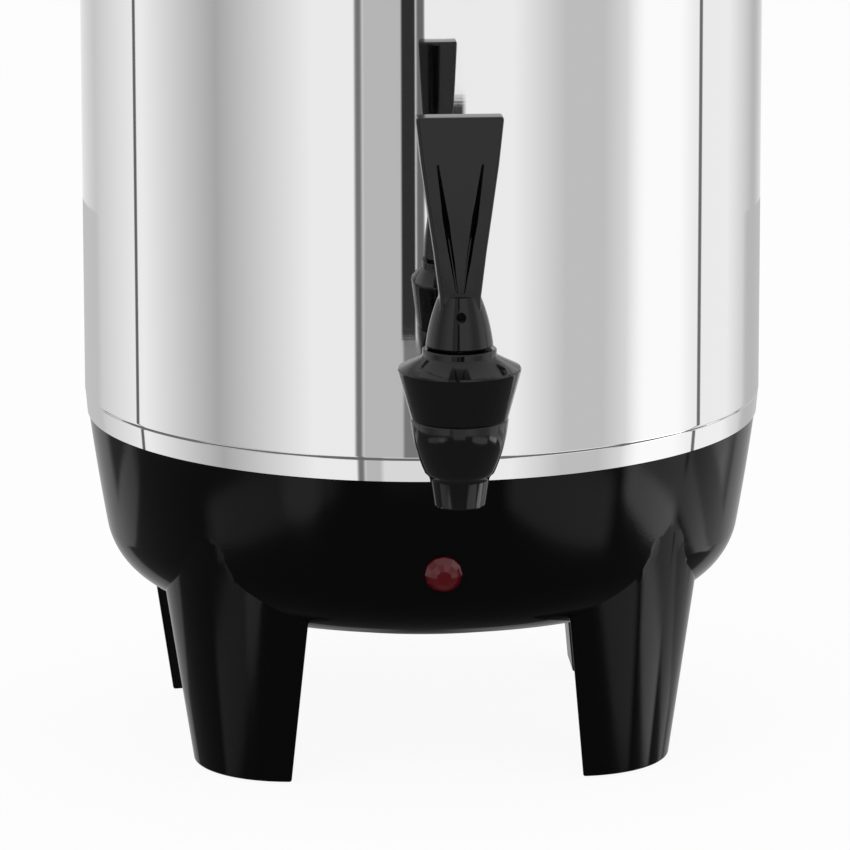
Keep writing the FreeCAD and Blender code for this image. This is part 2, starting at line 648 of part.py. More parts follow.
# Rubber pads, each with a stem that snaps into the leg's floor
pads = []
for i, angle in enumerate(PAD_TURNS):
    x, y = pad_place(angle)
    pads.append(fuse(f"rubber_pad_{i}", [
        cylinder(f"pad_sole_{i}", "pad_radius", "foot_pad", x=x, y=y),
        cylinder(f"pad_stem_{i}", "pad_stem", "foot_pad + base_wall + 2 * braze_gap", x=x, y=y),
        cylinder(f"pad_barb_{i}", "pad_stem + 1", "1.5", x=x, y=y, z="foot_pad + base_wall + braze_gap"),
    ]))
node(group("rubber_feet", pads), "rubber_feet")

# Bottom cover with its rod holes
cover = new_body("bottom_cover")
revolve(cover, "cover_disc", [
    ("0", "bowl_bottom + cover_recess"),
    ("bowl_flat - base_wall - 2 * cover_gap", "bowl_bottom + cover_recess"),
    ("bowl_flat - base_wall - 2 * cover_gap", "bowl_bottom + cover_recess + cover_thick"),
    ("0", "bowl_bottom + cover_recess + cover_thick"),
])
sketch = sketch_on(cover, "rod_holes", "XY_Plane", "bowl_bottom")
circle(sketch, "rod_circle", "0", "rod_radius + rod_hole_gap")
rod_hole = feature(cover, "Pocket", "rod_hole", sketch, Reversed=True)
rod_hole.setExpression("Length", bound("2 * (cover_recess + cover_thick)"))
polar(cover, "rod_holes_round", [rod_hole], "rod_count")
node(cover, "bottom_cover")

# Tie rods from the tank floor to the bottom cover, with their nuts and the clips that hold the heat shield
rods, nuts, clips = [], [], []
ROD_LOW = "bowl_bottom + cover_recess - tie_nut_high - rod_end"
for i in range(int(size("rod_count"))):
    x, y = around(i, "rod_count", "rod_circle")
    rods.append(fuse(f"tie_rod_{i}", [
        cylinder(f"rod_thin_{i}", "rod_radius", f"shield_height - ({ROD_LOW})", x=x, y=y, z=ROD_LOW),
        cylinder(f"rod_thick_{i}", "rod_radius + rod_shoulder", "floor_height - shield_height",
                 x=x, y=y, z="shield_height"),
    ]))
    nut_z = "bowl_bottom + cover_recess - tie_nut_high"
    nut_body = hexagon(f"tie_nut_body_{i}", "tie_nut_wide", "tie_nut_high", x=x, y=y, z=nut_z)
    nut_bore = cylinder(f"tie_nut_bore_{i}", "rod_radius + thread_gap", "2 * tie_nut_high",
                        x=x, y=y, z=f"{nut_z} - tie_nut_high / 2")
    nuts.append(cut(f"tie_nut_{i}", nut_body, [nut_bore]))
    clip_z = "shield_height - shield_thick - clip_thick"
    clip_body = cylinder(f"clip_body_{i}", "clip_radius", "clip_thick", x=x, y=y, z=clip_z)
    clip_bore = cylinder(f"clip_bore_{i}", "rod_radius + thread_gap", "3 * clip_thick",
                         x=x, y=y, z=f"{clip_z} - clip_thick")
    clips.append(cut(f"shield_clip_{i}", clip_body, [clip_bore]))
node(group("tie_rods", rods), "tie_rods")
node(group("tie_nuts", nuts), "tie_nuts")
node(group("shield_clips", clips), "shield_clips")

shield = new_body("heat_shield")
revolve(shield, "shield_disc", [
    ("0", "shield_height - shield_thick"),
    ("shield_radius", "shield_height - shield_thick"),
    ("shield_radius", "shield_height"),
    ("0", "shield_height"),
])
sketch = sketch_on(shield, "shield_holes", "XY_Plane", "shield_height")
circle(sketch, "rod_circle", "0", "rod_radius + rod_hole_gap")
shield_hole = feature(shield, "Pocket", "shield_hole", sketch, Reversed=False)
shield_hole.setExpression("Length", bound("2 * shield_thick"))
polar(shield, "shield_holes_round", [shield_hole], "rod_count")
node(shield, "heat_shield")

# Steel body: straight wall, stepped in at its foot, with a bead rolled outwards at its top
INSIDE = "(body_radius - shell_wall)"
BEAD_Z = "shell_top - roll_radius"
wall = new_body("body_wall")
revolve(wall, "wall", [
    ("body_radius - tuck - shell_wall", "rim_height"),
    ("body_radius - tuck", "rim_height"),
    ("body_radius - tuck_step", "crease_height - tuck_high"),
    ("body_radius", "crease_height"),
    ("body_radius", f"{BEAD_Z} - roll_radius / 2"),
    ("body_radius + roll_radius", BEAD_Z, "roll_radius", 1),
    ("body_radius", "shell_top"),
    (INSIDE, "shell_top"),
    (INSIDE, "crease_height + shell_wall / 2"),
    ("body_radius - tuck_step - shell_wall", "crease_height - tuck_high + shell_wall / 2"),
])
shank_hole = cylinder("shank_hole", "shank_radius + shank_hole_gap", "body_radius",
                      z="shank_height", turn=FORWARD)
wall_holes = [shank_hole]
HANDLE_TURNS = [side + sign * size("handle_screw_turn") for side in (0, 180) for sign in (-1, 1)]


def radial(thing, angle, start, z):
    """Lays a piece's own Z axis outwards from the urn's axis, at an angle round it."""
    turn = FreeCAD.Rotation(Z, angle).multiply(FreeCAD.Rotation(Y, 90))
    return place(thing, f"({start}) * cos({angle} * 1 deg)", f"({start}) * sin({angle} * 1 deg)", z, turn)


for i, angle in enumerate(HANDLE_TURNS):
    hole = cylinder(f"handle_hole_{i}", "handle_screw + rod_hole_gap", "10")
    wall_holes.append(radial(hole, angle, "body_radius - 5", "handle_height"))
node(cut("urn_body", wall, wall_holes), "urn_body")

# Tank floor, brazed inside the wall, with the well's hole in its middle
turned("tank_floor", [
    ("well_radius + well_hole_gap", "floor_height"),
    (f"{INSIDE} - braze_gap", "floor_height"),
    (f"{INSIDE} - braze_gap", "floor_height + floor_flange"),
    (f"{INSIDE} - braze_gap - shell_wall", "floor_height + floor_flange"),
    (f"{INSIDE} - braze_gap - shell_wall", "floor_height + shell_wall"),
    ("well_radius + well_hole_gap", "floor_height + shell_wall"),
])

# Heater well with its gasket and nut, and the stud under it
WELL_TOP = "floor_height + shell_wall + gasket_thick"
WELL_LOW = "floor_height - well_depth"
turned("heater_well", [
    ("0", f"{WELL_LOW} - stud_length"),
    ("stud_radius", f"{WELL_LOW} - stud_length"),
    ("stud_radius", WELL_LOW),
    ("well_radius", WELL_LOW),
    ("well_radius", WELL_TOP),
    ("well_flange", WELL_TOP),
    ("well_flange", f"{WELL_TOP} + well_flange_thick"),
    ("well_radius - well_wall", f"{WELL_TOP} + well_flange_thick"),
    ("well_radius - well_wall", f"{WELL_LOW} + well_bottom"),
    ("0", f"{WELL_LOW} + well_bottom"),
])
turned("well_gasket", [
    ("well_radius + thread_gap", "floor_height + shell_wall"),
    ("well_flange", "floor_height + shell_wall"),
    ("well_flange", WELL_TOP),
    ("well_radius + thread_gap", WELL_TOP),
])
well_nut = hexagon("well_nut_body", "well_nut_wide", "well_nut_high", z="floor_height - well_nut_high")
well_nut_bore = cylinder("well_nut_bore", "well_radius + thread_gap", "2 * well_nut_high",
                         z="floor_height - 1.5 * well_nut_high")
node(cut("well_nut", well_nut, [well_nut_bore]), "well_nut")

# Heating tube bent round the well, and the keep-warm ring under the tank floor
RING = "(well_radius + element_gap + element_radius)"
ring = primitive("Torus", "heating_ring", {
    "Radius1": RING, "Radius2": "element_radius", "Angle3": "element_turn"}, z="element_height")
ring.Angle1 = -180
ring.Angle2 = 180
legs = []
for i, angle in enumerate(("0", "element_turn")):
    x, y = f"{RING} * cos({angle} * 1 deg)", f"{RING} * sin({angle} * 1 deg)"
    legs.append(cylinder(f"element_end_{i}", "element_radius", "2.5 * element_radius", x=x, y=y,
                         z="element_height - 2.5 * element_radius"))
    legs.append(primitive("Sphere", f"element_elbow_{i}", {"Radius": "element_radius"},
                          x=x, y=y, z="element_height"))
element = fuse("brew_heater", [ring] + legs)
node(element, "brew_heater", turn=FreeCAD.Rotation(Z, 120))
turned("keep_warm_heater", [
    ("warm_inner", "floor_height - warm_thick"),
    ("warm_outer", "floor_height - warm_thick"),
    ("warm_outer", "floor_height"),
    ("warm_inner", "floor_height"),
])

# Thermostat and thermal fuse, pressed to the well's underside by a stepped bracket and its nut
SENSOR_LOW = f"({WELL_LOW} - sensor_high)"
sensor = fuse("thermostat", [
    cylinder("sensor_can", "sensor_radius", "sensor_high", x="sensor_out", z=SENSOR_LOW),
    box("sensor_blades", "0.8", "2 * sensor_radius + 8", "5", x="sensor_out", y="-sensor_radius - 4",
        z=f"{SENSOR_LOW} + 1.5"),
])
node(sensor, "thermostat")
FUSE_LOW = f"({WELL_LOW} - 2 * fuse_radius)"
node(cylinder("thermal_fuse", "fuse_radius", "fuse_length"), "thermal_fuse", turn=BACKWARD,
     x="-fuse_out", y=f"{AXIS_Y} - fuse_length / 2", z=f"{FUSE_LOW} + fuse_radius")
bracket = new_body("bracket_strap")
pad(bracket, "strap", "XZ_Plane", [
    ("-fuse_out - 2 * fuse_radius", FUSE_LOW),
    ("-fuse_out - 2 * fuse_radius", f"{FUSE_LOW} - bracket_thick"),
    ("-stud_radius - bracket_thick - 1.5", f"{FUSE_LOW} - bracket_thick"),
    ("-stud_radius - bracket_thick - 1.5", f"{SENSOR_LOW} - bracket_thick"),
    ("sensor_out + sensor_radius", f"{SENSOR_LOW} - bracket_thick"),
    ("sensor_out + sensor_radius", SENSOR_LOW),
    ("-stud_radius - 1.5", SENSOR_LOW),
    ("-stud_radius - 1.5", FUSE_LOW),
], "-bracket_width / 2", "bracket_width")
node(cut("sensor_bracket", bracket, [
    cylinder("bracket_hole", "stud_radius + rod_hole_gap", "20", z=f"{SENSOR_LOW} - 10")]), "sensor_bracket")
BRACKET_NUT = f"({SENSOR_LOW} - bracket_thick - tie_nut_high)"
bracket_nut = hexagon("bracket_nut_body", "tie_nut_wide", "tie_nut_high", z=BRACKET_NUT)
bracket_nut_bore = cylinder("bracket_nut_bore", "stud_radius + thread_gap", "3 * tie_nut_high",
                            z=f"{BRACKET_NUT} - tie_nut_high")
node(cut("bracket_nut", bracket_nut, [bracket_nut_bore]), "bracket_nut")


# Pilot lamp: a faceted jewel on a holder that goes through the bowl, with its nut inside
def jewel():
    """Two bands of flat facets under a flat table, on a short round rim."""
    count = int(size("lens_facets"))
    radius, rise = size("lens_radius"), size("lens_rise")

    def ring_of(share, height, turn):
        spread = [2 * math.pi * (i + turn) / count for i in range(count)]
        reach = radius * share
        points = [FreeCAD.Vector(reach * math.cos(a), reach * math.sin(a), height) for a in spread]
        return Part.makePolygon(points + points[:1])

    rings = [ring_of(1.0, 0.0, 0), ring_of(0.98, rise * 0.3, 0)]
    rings += [ring_of(0.76, rise * 0.72, 0), ring_of(0.42, rise, 0)]
    return Part.makeLoft(rings, True, True)


lens = doc.addObject("Part::Feature", "pilot_lens")
lens.Shape = jewel()
lamp_node(lens, "pilot_lens")
holder = fuse("pilot_holder", [
    cylinder("holder_flange", "lens_radius * 0.96", "lamp_flange", z="-lamp_flange"),
    cylinder("holder_barrel", "lamp_barrel", "lamp_length", z="-lamp_length"),
    box("holder_blades", "6", "0.8", "8", y="-0.4", z="-lamp_length - 7"),
])
lamp_node(holder, "pilot_holder")
LAMP_NUT = f"-({LAMP_SEAT} + lamp_nut_high)"
pilot_nut = hexagon("pilot_nut_body", "lamp_nut_wide", "lamp_nut_high", z=LAMP_NUT)
pilot_nut_bore = cylinder("pilot_nut_bore", "lamp_barrel + thread_gap", "3 * lamp_nut_high",
                          z=f"{LAMP_NUT} - lamp_nut_high")
lamp_node(cut("pilot_nut", pilot_nut, [pilot_nut_bore]), "pilot_nut")

# Power inlet in the boss at the back: a socket with three pins, held by two screws
FLANGE_Y = "boss_face"
inlet_solid = fuse("inlet_solid", [
    box("inlet_plate", "inlet_flange_width", "inlet_flange", "inlet_high + 6", y=FLANGE_Y,
        z="inlet_height - inlet_high / 2 - 3"),
    box("inlet_sleeve", "inlet_width", "inlet_depth", "inlet_high", y=f"{FLANGE_Y} - inlet_depth",
        z="inlet_height - inlet_high / 2"),
])
SOCKET_Y = f"({FLANGE_Y} + inlet_flange - socket_depth)"
PINS = (("-pin_spread", "-3"), ("pin_spread", "-3"), ("0", "3"))
inlet_tools = [box("inlet_socket", "inlet_width - 2 * inlet_wall", "socket_depth + 1",
                   "inlet_high - 2 * inlet_wall", y=SOCKET_Y, z="inlet_height - inlet_high / 2 + inlet_wall")]
for i, (x, z) in enumerate(PINS):
    inlet_tools.append(box(f"pin_slot_{i}", "pin_thick", "inlet_depth + 2", "pin_wide", x=x,
                           y=f"{FLANGE_Y} - inlet_depth - 1", z=f"inlet_height - pin_wide / 2 + ({z})"))
for side in ("-1", "1"):
    inlet_tools.append(cylinder(f"inlet_plate_hole_{len(inlet_tools)}", "small_screw + rod_hole_gap",
                                "3 * inlet_flange", x=f"{side} * inlet_screw_out",
                                y=f"{FLANGE_Y} - inlet_flange", z="inlet_height", turn=BACKWARD))
node(cut("power_inlet", inlet_solid, inlet_tools), "power_inlet")
PIN_BACK = f"({FLANGE_Y} - inlet_depth - pin_tail)"
pins = [box(f"inlet_pin_{i}", "pin_thick", f"{SOCKET_Y} + pin_length - 4 - {PIN_BACK}", "pin_wide",
            x=x, y=PIN_BACK, z=f"inlet_height - pin_wide / 2 + ({z})") for i, (x, z) in enumerate(PINS)]
node(group("inlet_pins", pins), "inlet_pins")
screws = []
for side in ("-1", "1"):
    screws.append(fuse(f"inlet_screw_{side}", [
        cylinder(f"inlet_thread_{side}", "small_screw", "boss_depth * 0.7", x=f"{side} * inlet_screw_out",
                 y=f"{FLANGE_Y} + inlet_flange - boss_depth * 0.7", z="inlet_height", turn=BACKWARD),
        cylinder(f"inlet_head_{side}", "1.9 * small_screw", "small_screw", x=f"{side} * inlet_screw_out",
                 y=f"{FLANGE_Y} + inlet_flange", z="inlet_height", turn=BACKWARD),
    ]))
node(group("inlet_screws", screws), "inlet_screws")


# Side handles: a bar that bows out between two flat-ended arms, screwed through the wall
def side_handle(label, side):
    body = new_body(f"{label}_bar")
    reach, start = "(body_radius + handle_out)", "(body_radius + handle_gap)"
    inner = f"({reach} - grip_thick)"
    end_x = f"sqrt({start}^2 - handle_half^2)"
    foot = "(handle_half - grip_thick)"
    foot_x = f"sqrt({start}^2 - {foot}^2)"
    corners = [
        (end_x, "handle_half"),
        (f"{reach} - 8", "handle_half * 0.93"),
        (reach, "handle_half * 0.62"),
        (reach, "-handle_half * 0.62"),
        (f"{reach} - 8", "-handle_half * 0.93"),
        (end_x, "-handle_half", start, -1),
        (foot_x, f"-{foot}"),
        (inner, f"-{foot} * 0.9"),
        (inner, f"{foot} * 0.9"),
        (foot_x, foot, start, -1),
    ]
    bar = pad(body, "bar", "XY_Plane", corners, "handle_height - handle_high / 2", "handle_high")
    doc.recompute()
    edges = [f"Edge{i}" for i, e in enumerate(bar.Shape.Edges, 1)
             if abs(e.CenterOfMass.z - size("handle_height")) > 1 and e.Curve.TypeId != "Part::GeomCircle"]
    soft = body.newObject("PartDesign::Fillet", "soft_edges")
    soft.Base = (bar, edges)
    soft.setExpression("Radius", bound("handle_round"))
    body.Tip = soft
    holes = []
    for i, sign in enumerate((-1, 1)):
        hole = cylinder(f"{label}_hole_{i}", "handle_screw + thread_gap", "handle_screw_long")
        holes.append(radial(hole, sign * size("handle_screw_turn"), "body_radius - 1", "handle_height"))
    turn = FreeCAD.Rotation(Z, 0 if side > 0 else 180)
    return node(cut(label, body, holes), label, turn=turn)


side_handle("side_handle_right", 1)
side_handle("side_handle_left", -1)
screws, washers = [], []
SCREW_START = f"{INSIDE} - 1.6 * washer_thick"
for i, angle in enumerate(HANDLE_TURNS):
    head = cylinder(f"handle_head_{i}", "1.9 * handle_screw", "handle_screw")
    thread = cylinder(f"handle_thread_{i}", "handle_screw", "handle_screw_long")
    screws.append(fuse(f"handle_screw_{i}", [
        radial(head, angle, f"{SCREW_START} - handle_screw", "handle_height"),
        radial(thread, angle, SCREW_START, "handle_height"),
    ]))
    disc = radial(cylinder(f"washer_disc_{i}", "2.4 * handle_screw", "1.6 * washer_thick"), angle, SCREW_START,
                  "handle_height")
    bore = radial(cylinder(f"washer_bore_{i}", "handle_screw + thread_gap", "12"), angle, "body_radius - 8",
                  "handle_height")
    room = cylinder(f"washer_room_{i}", INSIDE, "20", z="handle_height - 10")
    inside = doc.addObject("Part::MultiCommon", f"washer_inside_{i}")
    inside.Shapes = [disc, room]
    washers.append(cut(f"handle_washer_{i}", inside, [bore]))
node(group("handle_screws", screws), "handle_screws")
node(group("handle_washers", washers), "handle_washers")

# Lid: a domed sheet with a skirt inside the wall, and its knob
LID_SEAT = "(shell_top + lid_seat_gap)"
SKIRT = f"({INSIDE} - lid_fit)"
DOME = "((body_radius - 6)^2 + lid_rise^2) / (2 * lid_rise)"
turned("lid", [
    (f"{SKIRT} - lid_thick", f"{LID_SEAT} - lid_skirt"),
    (SKIRT, f"{LID_SEAT} - lid_skirt"),
    (SKIRT, LID_SEAT),
    ("lid_radius", LID_SEAT),
    ("lid_radius", f"{LID_SEAT} + lid_thick"),
    ("body_radius - 3", f"{LID_SEAT} + lid_thick"),
    ("body_radius - 6", f"{LID_SEAT} + lid_thick + lid_step", DOME, -1),
    ("knob_screw + rod_hole_gap", f"{LID_SEAT} + lid_thick + lid_step + lid_rise"),
    ("knob_screw + rod_hole_gap", f"{LID_SEAT} + lid_step + lid_rise", f"{DOME} - lid_thick", 1),
    (f"{SKIRT} - lid_thick - 5", f"{LID_SEAT} + lid_step"),
    (f"{SKIRT} - lid_thick", LID_SEAT),
])
KNOB_Z = f"({LID_SEAT} + lid_thick + lid_step + lid_rise)"
turned("lid_knob", [
    ("knob_screw + thread_gap", f"{KNOB_Z} + 0.05"),
    ("knob_neck + 3", f"{KNOB_Z} + 0.05"),
    ("knob_neck", f"{KNOB_Z} + knob_high * 0.35"),
    ("knob_radius", f"{KNOB_Z} + knob_high * 0.62"),
    ("knob_radius", f"{KNOB_Z} + knob_high * 0.8", "knob_radius * 1.2", -1),
    ("knob_radius * 0.55", f"{KNOB_Z} + knob_high"),
    ("0", f"{KNOB_Z} + knob_high"),
    ("0", f"{KNOB_Z} + knob_high * 0.7"),
    ("knob_screw + thread_gap", f"{KNOB_Z} + knob_high * 0.7"),
])
node(fuse("knob_screw", [
    cylinder("knob_screw_head", "2 * knob_screw", "knob_screw", z=f"{KNOB_Z} - lid_thick - 0.1 - knob_screw"),
    cylinder("knob_screw_thread", "knob_screw", "knob_high * 0.6", z=f"{KNOB_Z} - lid_thick - 0.1"),
]), "knob_screw")

# Percolator: tube with a bell foot standing in the well, a loose valve disc, the basket and its spreader cover
FOOT_Z = f"({WELL_LOW} + well_bottom)"
FOOT_R = "(well_radius - well_wall - foot_gap)"
VALVE_SEAT = f"({FOOT_Z} + foot_high * 0.55)"
tube = new_body("pump_tube_body")
revolve(tube, "pump_tube_turn", [
    (f"{FOOT_R} - foot_wall", FOOT_Z),
    (FOOT_R, FOOT_Z),
    (FOOT_R, f"{FOOT_Z} + foot_high * 0.55"),
    ("tube_radius", f"{FOOT_Z} + foot_high"),
    ("tube_radius", "basket_bottom - 2"),
    ("stop_radius", "basket_bottom - 2"),
    ("stop_radius", "basket_bottom - 0.2"),
    ("tube_radius", "basket_bottom - 0.2"),
    ("tube_radius", "tube_top"),
    ("tube_radius - tube_wall", "tube_top"),
    ("tube_radius - tube_wall", f"{FOOT_Z} + foot_high - foot_wall"),
    (f"{FOOT_R} - foot_wall", f"{FOOT_Z} + foot_high * 0.55 - foot_wall"),
])
notches = []
for i in range(4):
    notch = primitive("Box", f"foot_notch_{i}", {"Length": "2 * well_radius", "Width": "6", "Height": "3"})
    turn = FreeCAD.Rotation(Z, 45 + 90 * i)
    place(notch, f"3 * sin({45 + 90 * i} * 1 deg)", f"-3 * cos({45 + 90 * i} * 1 deg)", f"{FOOT_Z} - 0.5", turn)
    notches.append(notch)
node(cut("pump_tube", tube, notches), "pump_tube")
turned("pump_valve", [
    ("0", f"{FOOT_Z} + 0.1"),
    ("9", f"{FOOT_Z} + 0.1"),
    ("9", f"{FOOT_Z} + 1.1"),
    ("3", f"{FOOT_Z} + 1.1"),
    ("3", f"{FOOT_Z} + 2.6"),
    ("0", f"{FOOT_Z} + 2.6"),
])
basket = new_body("basket_body")
BORE = "(tube_radius + basket_fit)"
revolve(basket, "basket_turn", [
    (BORE, "basket_bottom"),
    ("basket_radius", "basket_bottom"),
    ("basket_radius", "basket_bottom + basket_high"),
    ("basket_radius + 2", "basket_bottom + basket_high"),
    ("basket_radius + 2", "basket_bottom + basket_high + basket_wall"),
    ("basket_radius - basket_wall", "basket_bottom + basket_high + basket_wall"),
    ("basket_radius - basket_wall", "basket_bottom + basket_wall"),
    (f"{BORE} + basket_wall", "basket_bottom + basket_wall"),
    (f"{BORE} + basket_wall", "basket_bottom + basket_high - 4"),
    (BORE, "basket_bottom + basket_high - 4"),
])
holes = []
BASKET_RINGS = (("0.84", "basket_holes"), ("0.56", "basket_holes - 4"), ("0.3", "basket_holes - 8"))
for ring_index, (share, number) in enumerate(BASKET_RINGS):
    sketch = sketch_on(basket, f"hole_{ring_index}_outline", "XY_Plane", "basket_bottom - 1")
    circle(sketch, f"basket_radius * {share}", "0", "1.6")
    hole = feature(basket, "Pocket", f"hole_{ring_index}", sketch, Reversed=True)
    hole.setExpression("Length", bound("2 + basket_wall"))
    polar(basket, f"holes_{ring_index}", [hole], number)
node(basket, "coffee_basket")
COVER_Z = "(basket_bottom + basket_high + basket_wall + 0.1)"
spreader = new_body("spreader")
revolve(spreader, "spreader_turn", [
    (BORE, f"{COVER_Z} - 3"),
    ("basket_radius - 4", f"{COVER_Z} - 3"),
    ("basket_radius - 2", COVER_Z),
    ("basket_radius + 3", COVER_Z),
    ("basket_radius + 3", f"{COVER_Z} + cover_plate"),
    ("basket_radius - 2.5", f"{COVER_Z} + cover_plate"),
    ("basket_radius - 4.5", f"{COVER_Z} - 3 + cover_plate"),
    (f"{BORE} + 1", f"{COVER_Z} - 3 + cover_plate"),
    (f"{BORE} + 1", f"{COVER_Z} + 7"),
    (BORE, f"{COVER_Z} + 7"),
])
for ring_index, (share, number) in enumerate((("0.78", "basket_holes"), ("0.45", "basket_holes - 6"))):
    sketch = sketch_on(spreader, f"drip_{ring_index}_outline", "XY_Plane", f"{COVER_Z} - 4")
    circle(sketch, f"basket_radius * {share}", "0", "1.2")
    hole = feature(spreader, "Pocket", f"drip_{ring_index}", sketch, Reversed=True)
    hole.setExpression("Length", bound("4 + cover_plate"))
    polar(spreader, f"drips_{ring_index}", [hole], number)
node(spreader, "basket_cover")

# Tap: the spout with its neck and the shank that goes through the wall
spout_shell = new_body("spout_shell")
revolve(spout_shell, "spout_turn", [
    ("0", "nozzle_end"),
    ("nozzle_radius", "nozzle_end"),
    ("nozzle_top", "spout_foot - nozzle_step"),
    ("spout_foot_radius", "spout_foot", "spout_bulge", -1),
    ("spout_radius", "seam_height"),
    ("collar_radius", "seam_height"),
    ("collar_radius", "seam_height + collar_high"),
    ("0", "seam_height + collar_high"),
])
neck = cylinder("spout_neck", "neck_radius", "neck_length", z="shank_height", turn=BACKWARD)
shank = cylinder("shank", "shank_radius", "tap_reach + shank_inside - neck_length / 2",
                 y="neck_length / 2", z="shank_height", turn=BACKWARD)
shoulder = cylinder("shank_shoulder", "shank_flange", "shank_flange_thick",
                    y="tap_reach - seal_thick - shank_flange_thick", z="shank_height", turn=BACKWARD)
spout_room = new_body("spout_room")
revolve(spout_room, "spout_room_turn", [
    ("0", "nozzle_end - 1"),
    ("nozzle_bore", "nozzle_end - 1"),
    ("nozzle_bore", "seat_height - seat_web"),
    ("seat_bore", "seat_height - seat_web"),
    ("seat_bore", "seat_height"),
    ("chamber_radius", "seat_height"),
    ("chamber_radius", "seam_height + collar_high + 1"),
    ("0", "seam_height + collar_high + 1"),
])
bore = cylinder("shank_bore_tool", "shank_bore", "2 * tap_reach", z="shank_height", turn=BACKWARD)
node(cut("spout_body", fuse("spout_solid", [spout_shell, neck, shank, shoulder]), [spout_room, bore]),
     "spout_body", y=TAP_Y)

# Shank's seals on both sides of the wall, and the nut inside
SEAL = {"turn": BACKWARD, "z": "shank_height"}


def wall_seal(name, start, inside):
    disc = cylinder(f"{name}_disc", "seal_radius", "seal_thick", y=start, **SEAL)
    hole = cylinder(f"{name}_hole", "shank_radius + thread_gap", "3 * seal_thick",
                    y=f"{start} - seal_thick", **SEAL)
    return cut(name, disc, [hole, inside])


OUTSIDE_TOOL = cylinder("seal_wall_tool", "body_radius", "60",
                        y="tap_reach + body_radius", z="shank_height - 30")
INNER_START = "(tap_reach + shell_wall + 0.1)"
hollow_disc = cylinder("inner_seal_block", "seal_radius", "seal_thick + 1", y="tap_reach", **SEAL)
inner_room = doc.addObject("Part::MultiCommon", "inner_seal_part")
seal_room = cylinder("seal_room_tool", INSIDE, "60", y="tap_reach + body_radius", z="shank_height - 30")
inner_room.Shapes = [hollow_disc, seal_room]
outer_seal = wall_seal("outer_seal", "tap_reach - seal_thick", OUTSIDE_TOOL)
inner_seal = cut("inner_seal", inner_room, [
    cylinder("inner_seal_hole", "shank_radius + thread_gap", "20", y="tap_reach - 5", **SEAL)])
node(group("tap_seals", [outer_seal, inner_seal]), "tap_seals", y=TAP_Y)
NUT_START = "(tap_reach + seal_thick + 1)"
tap_nut = hexagon("tap_nut_body", "shank_nut_wide", "shank_nut_high", y=NUT_START, **SEAL)
tap_nut_bore = cylinder("tap_nut_bore", "shank_radius + thread_gap", "3 * shank_nut_high",
                        y=f"{NUT_START} - shank_nut_high", **SEAL)
node(cut("tap_nut", tap_nut, [tap_nut_bore]), "tap_nut", y=TAP_Y)

# Bonnet screwed over the spout's collar, with the spring's room and the stem's hole
turned("tap_bonnet", [
    ("collar_radius + thread_gap", "seam_height"),
    ("spout_radius", "seam_height"),
    ("bonnet_radius", "bonnet_shoulder"),
    ("bonnet_lip", "bonnet_top"),
    ("bonnet_lip", "lip_top"),
    ("stem_radius + stem_fit", "lip_top"),
    ("stem_radius + stem_fit", "spring_ceiling"),
    ("spring_room", "spring_ceiling"),
    ("spring_room", "seam_height + collar_high + 0.3"),
    ("collar_radius + thread_gap", "seam_height + collar_high + 0.3"),
], y=TAP_Y)

# Valve stem with its spring collar and the head that carries the lever's pin
stem = new_body("stem_turned")
revolve(stem, "stem_turn", [
    ("0", "seat_height + cup_high * 0.4"),
    ("stem_radius", "seat_height + cup_high * 0.4"),
    ("stem_radius", "spring_foot - stem_collar_thick"),
    ("stem_collar", "spring_foot - stem_collar_thick"),
    ("stem_collar", "spring_foot"),
    ("stem_radius", "spring_foot"),
    ("stem_radius", "pivot_height + stem_radius"),
    ("0", "pivot_height + stem_radius"),
])
pin_hole = cylinder("stem_pin_hole", "pivot_pin + pin_fit", "20", x="-10", z="pivot_height",
                    turn=FreeCAD.Rotation(Y, 90))
node(cut("valve_stem", stem, [pin_hole]), "valve_stem", y=TAP_Y)
turned("seat_cup", [
    ("0", "seat_height + cup_gap"),
    ("cup_radius", "seat_height + cup_gap"),
    ("cup_radius * 0.8", "seat_height + cup_high"),
    ("stem_radius + thread_gap", "seat_height + cup_high"),
    ("stem_radius + thread_gap", "seat_height + cup_high * 0.4 - thread_gap"),
    ("0", "seat_height + cup_high * 0.4 - thread_gap"),
], y=TAP_Y)
turned("tap_spring", [
    ("spring_radius - spring_wire", "spring_foot"),
    ("spring_radius + spring_wire", "spring_foot"),
    ("spring_radius + spring_wire", "spring_ceiling"),
    ("spring_radius - spring_wire", "spring_ceiling"),
], y=TAP_Y)


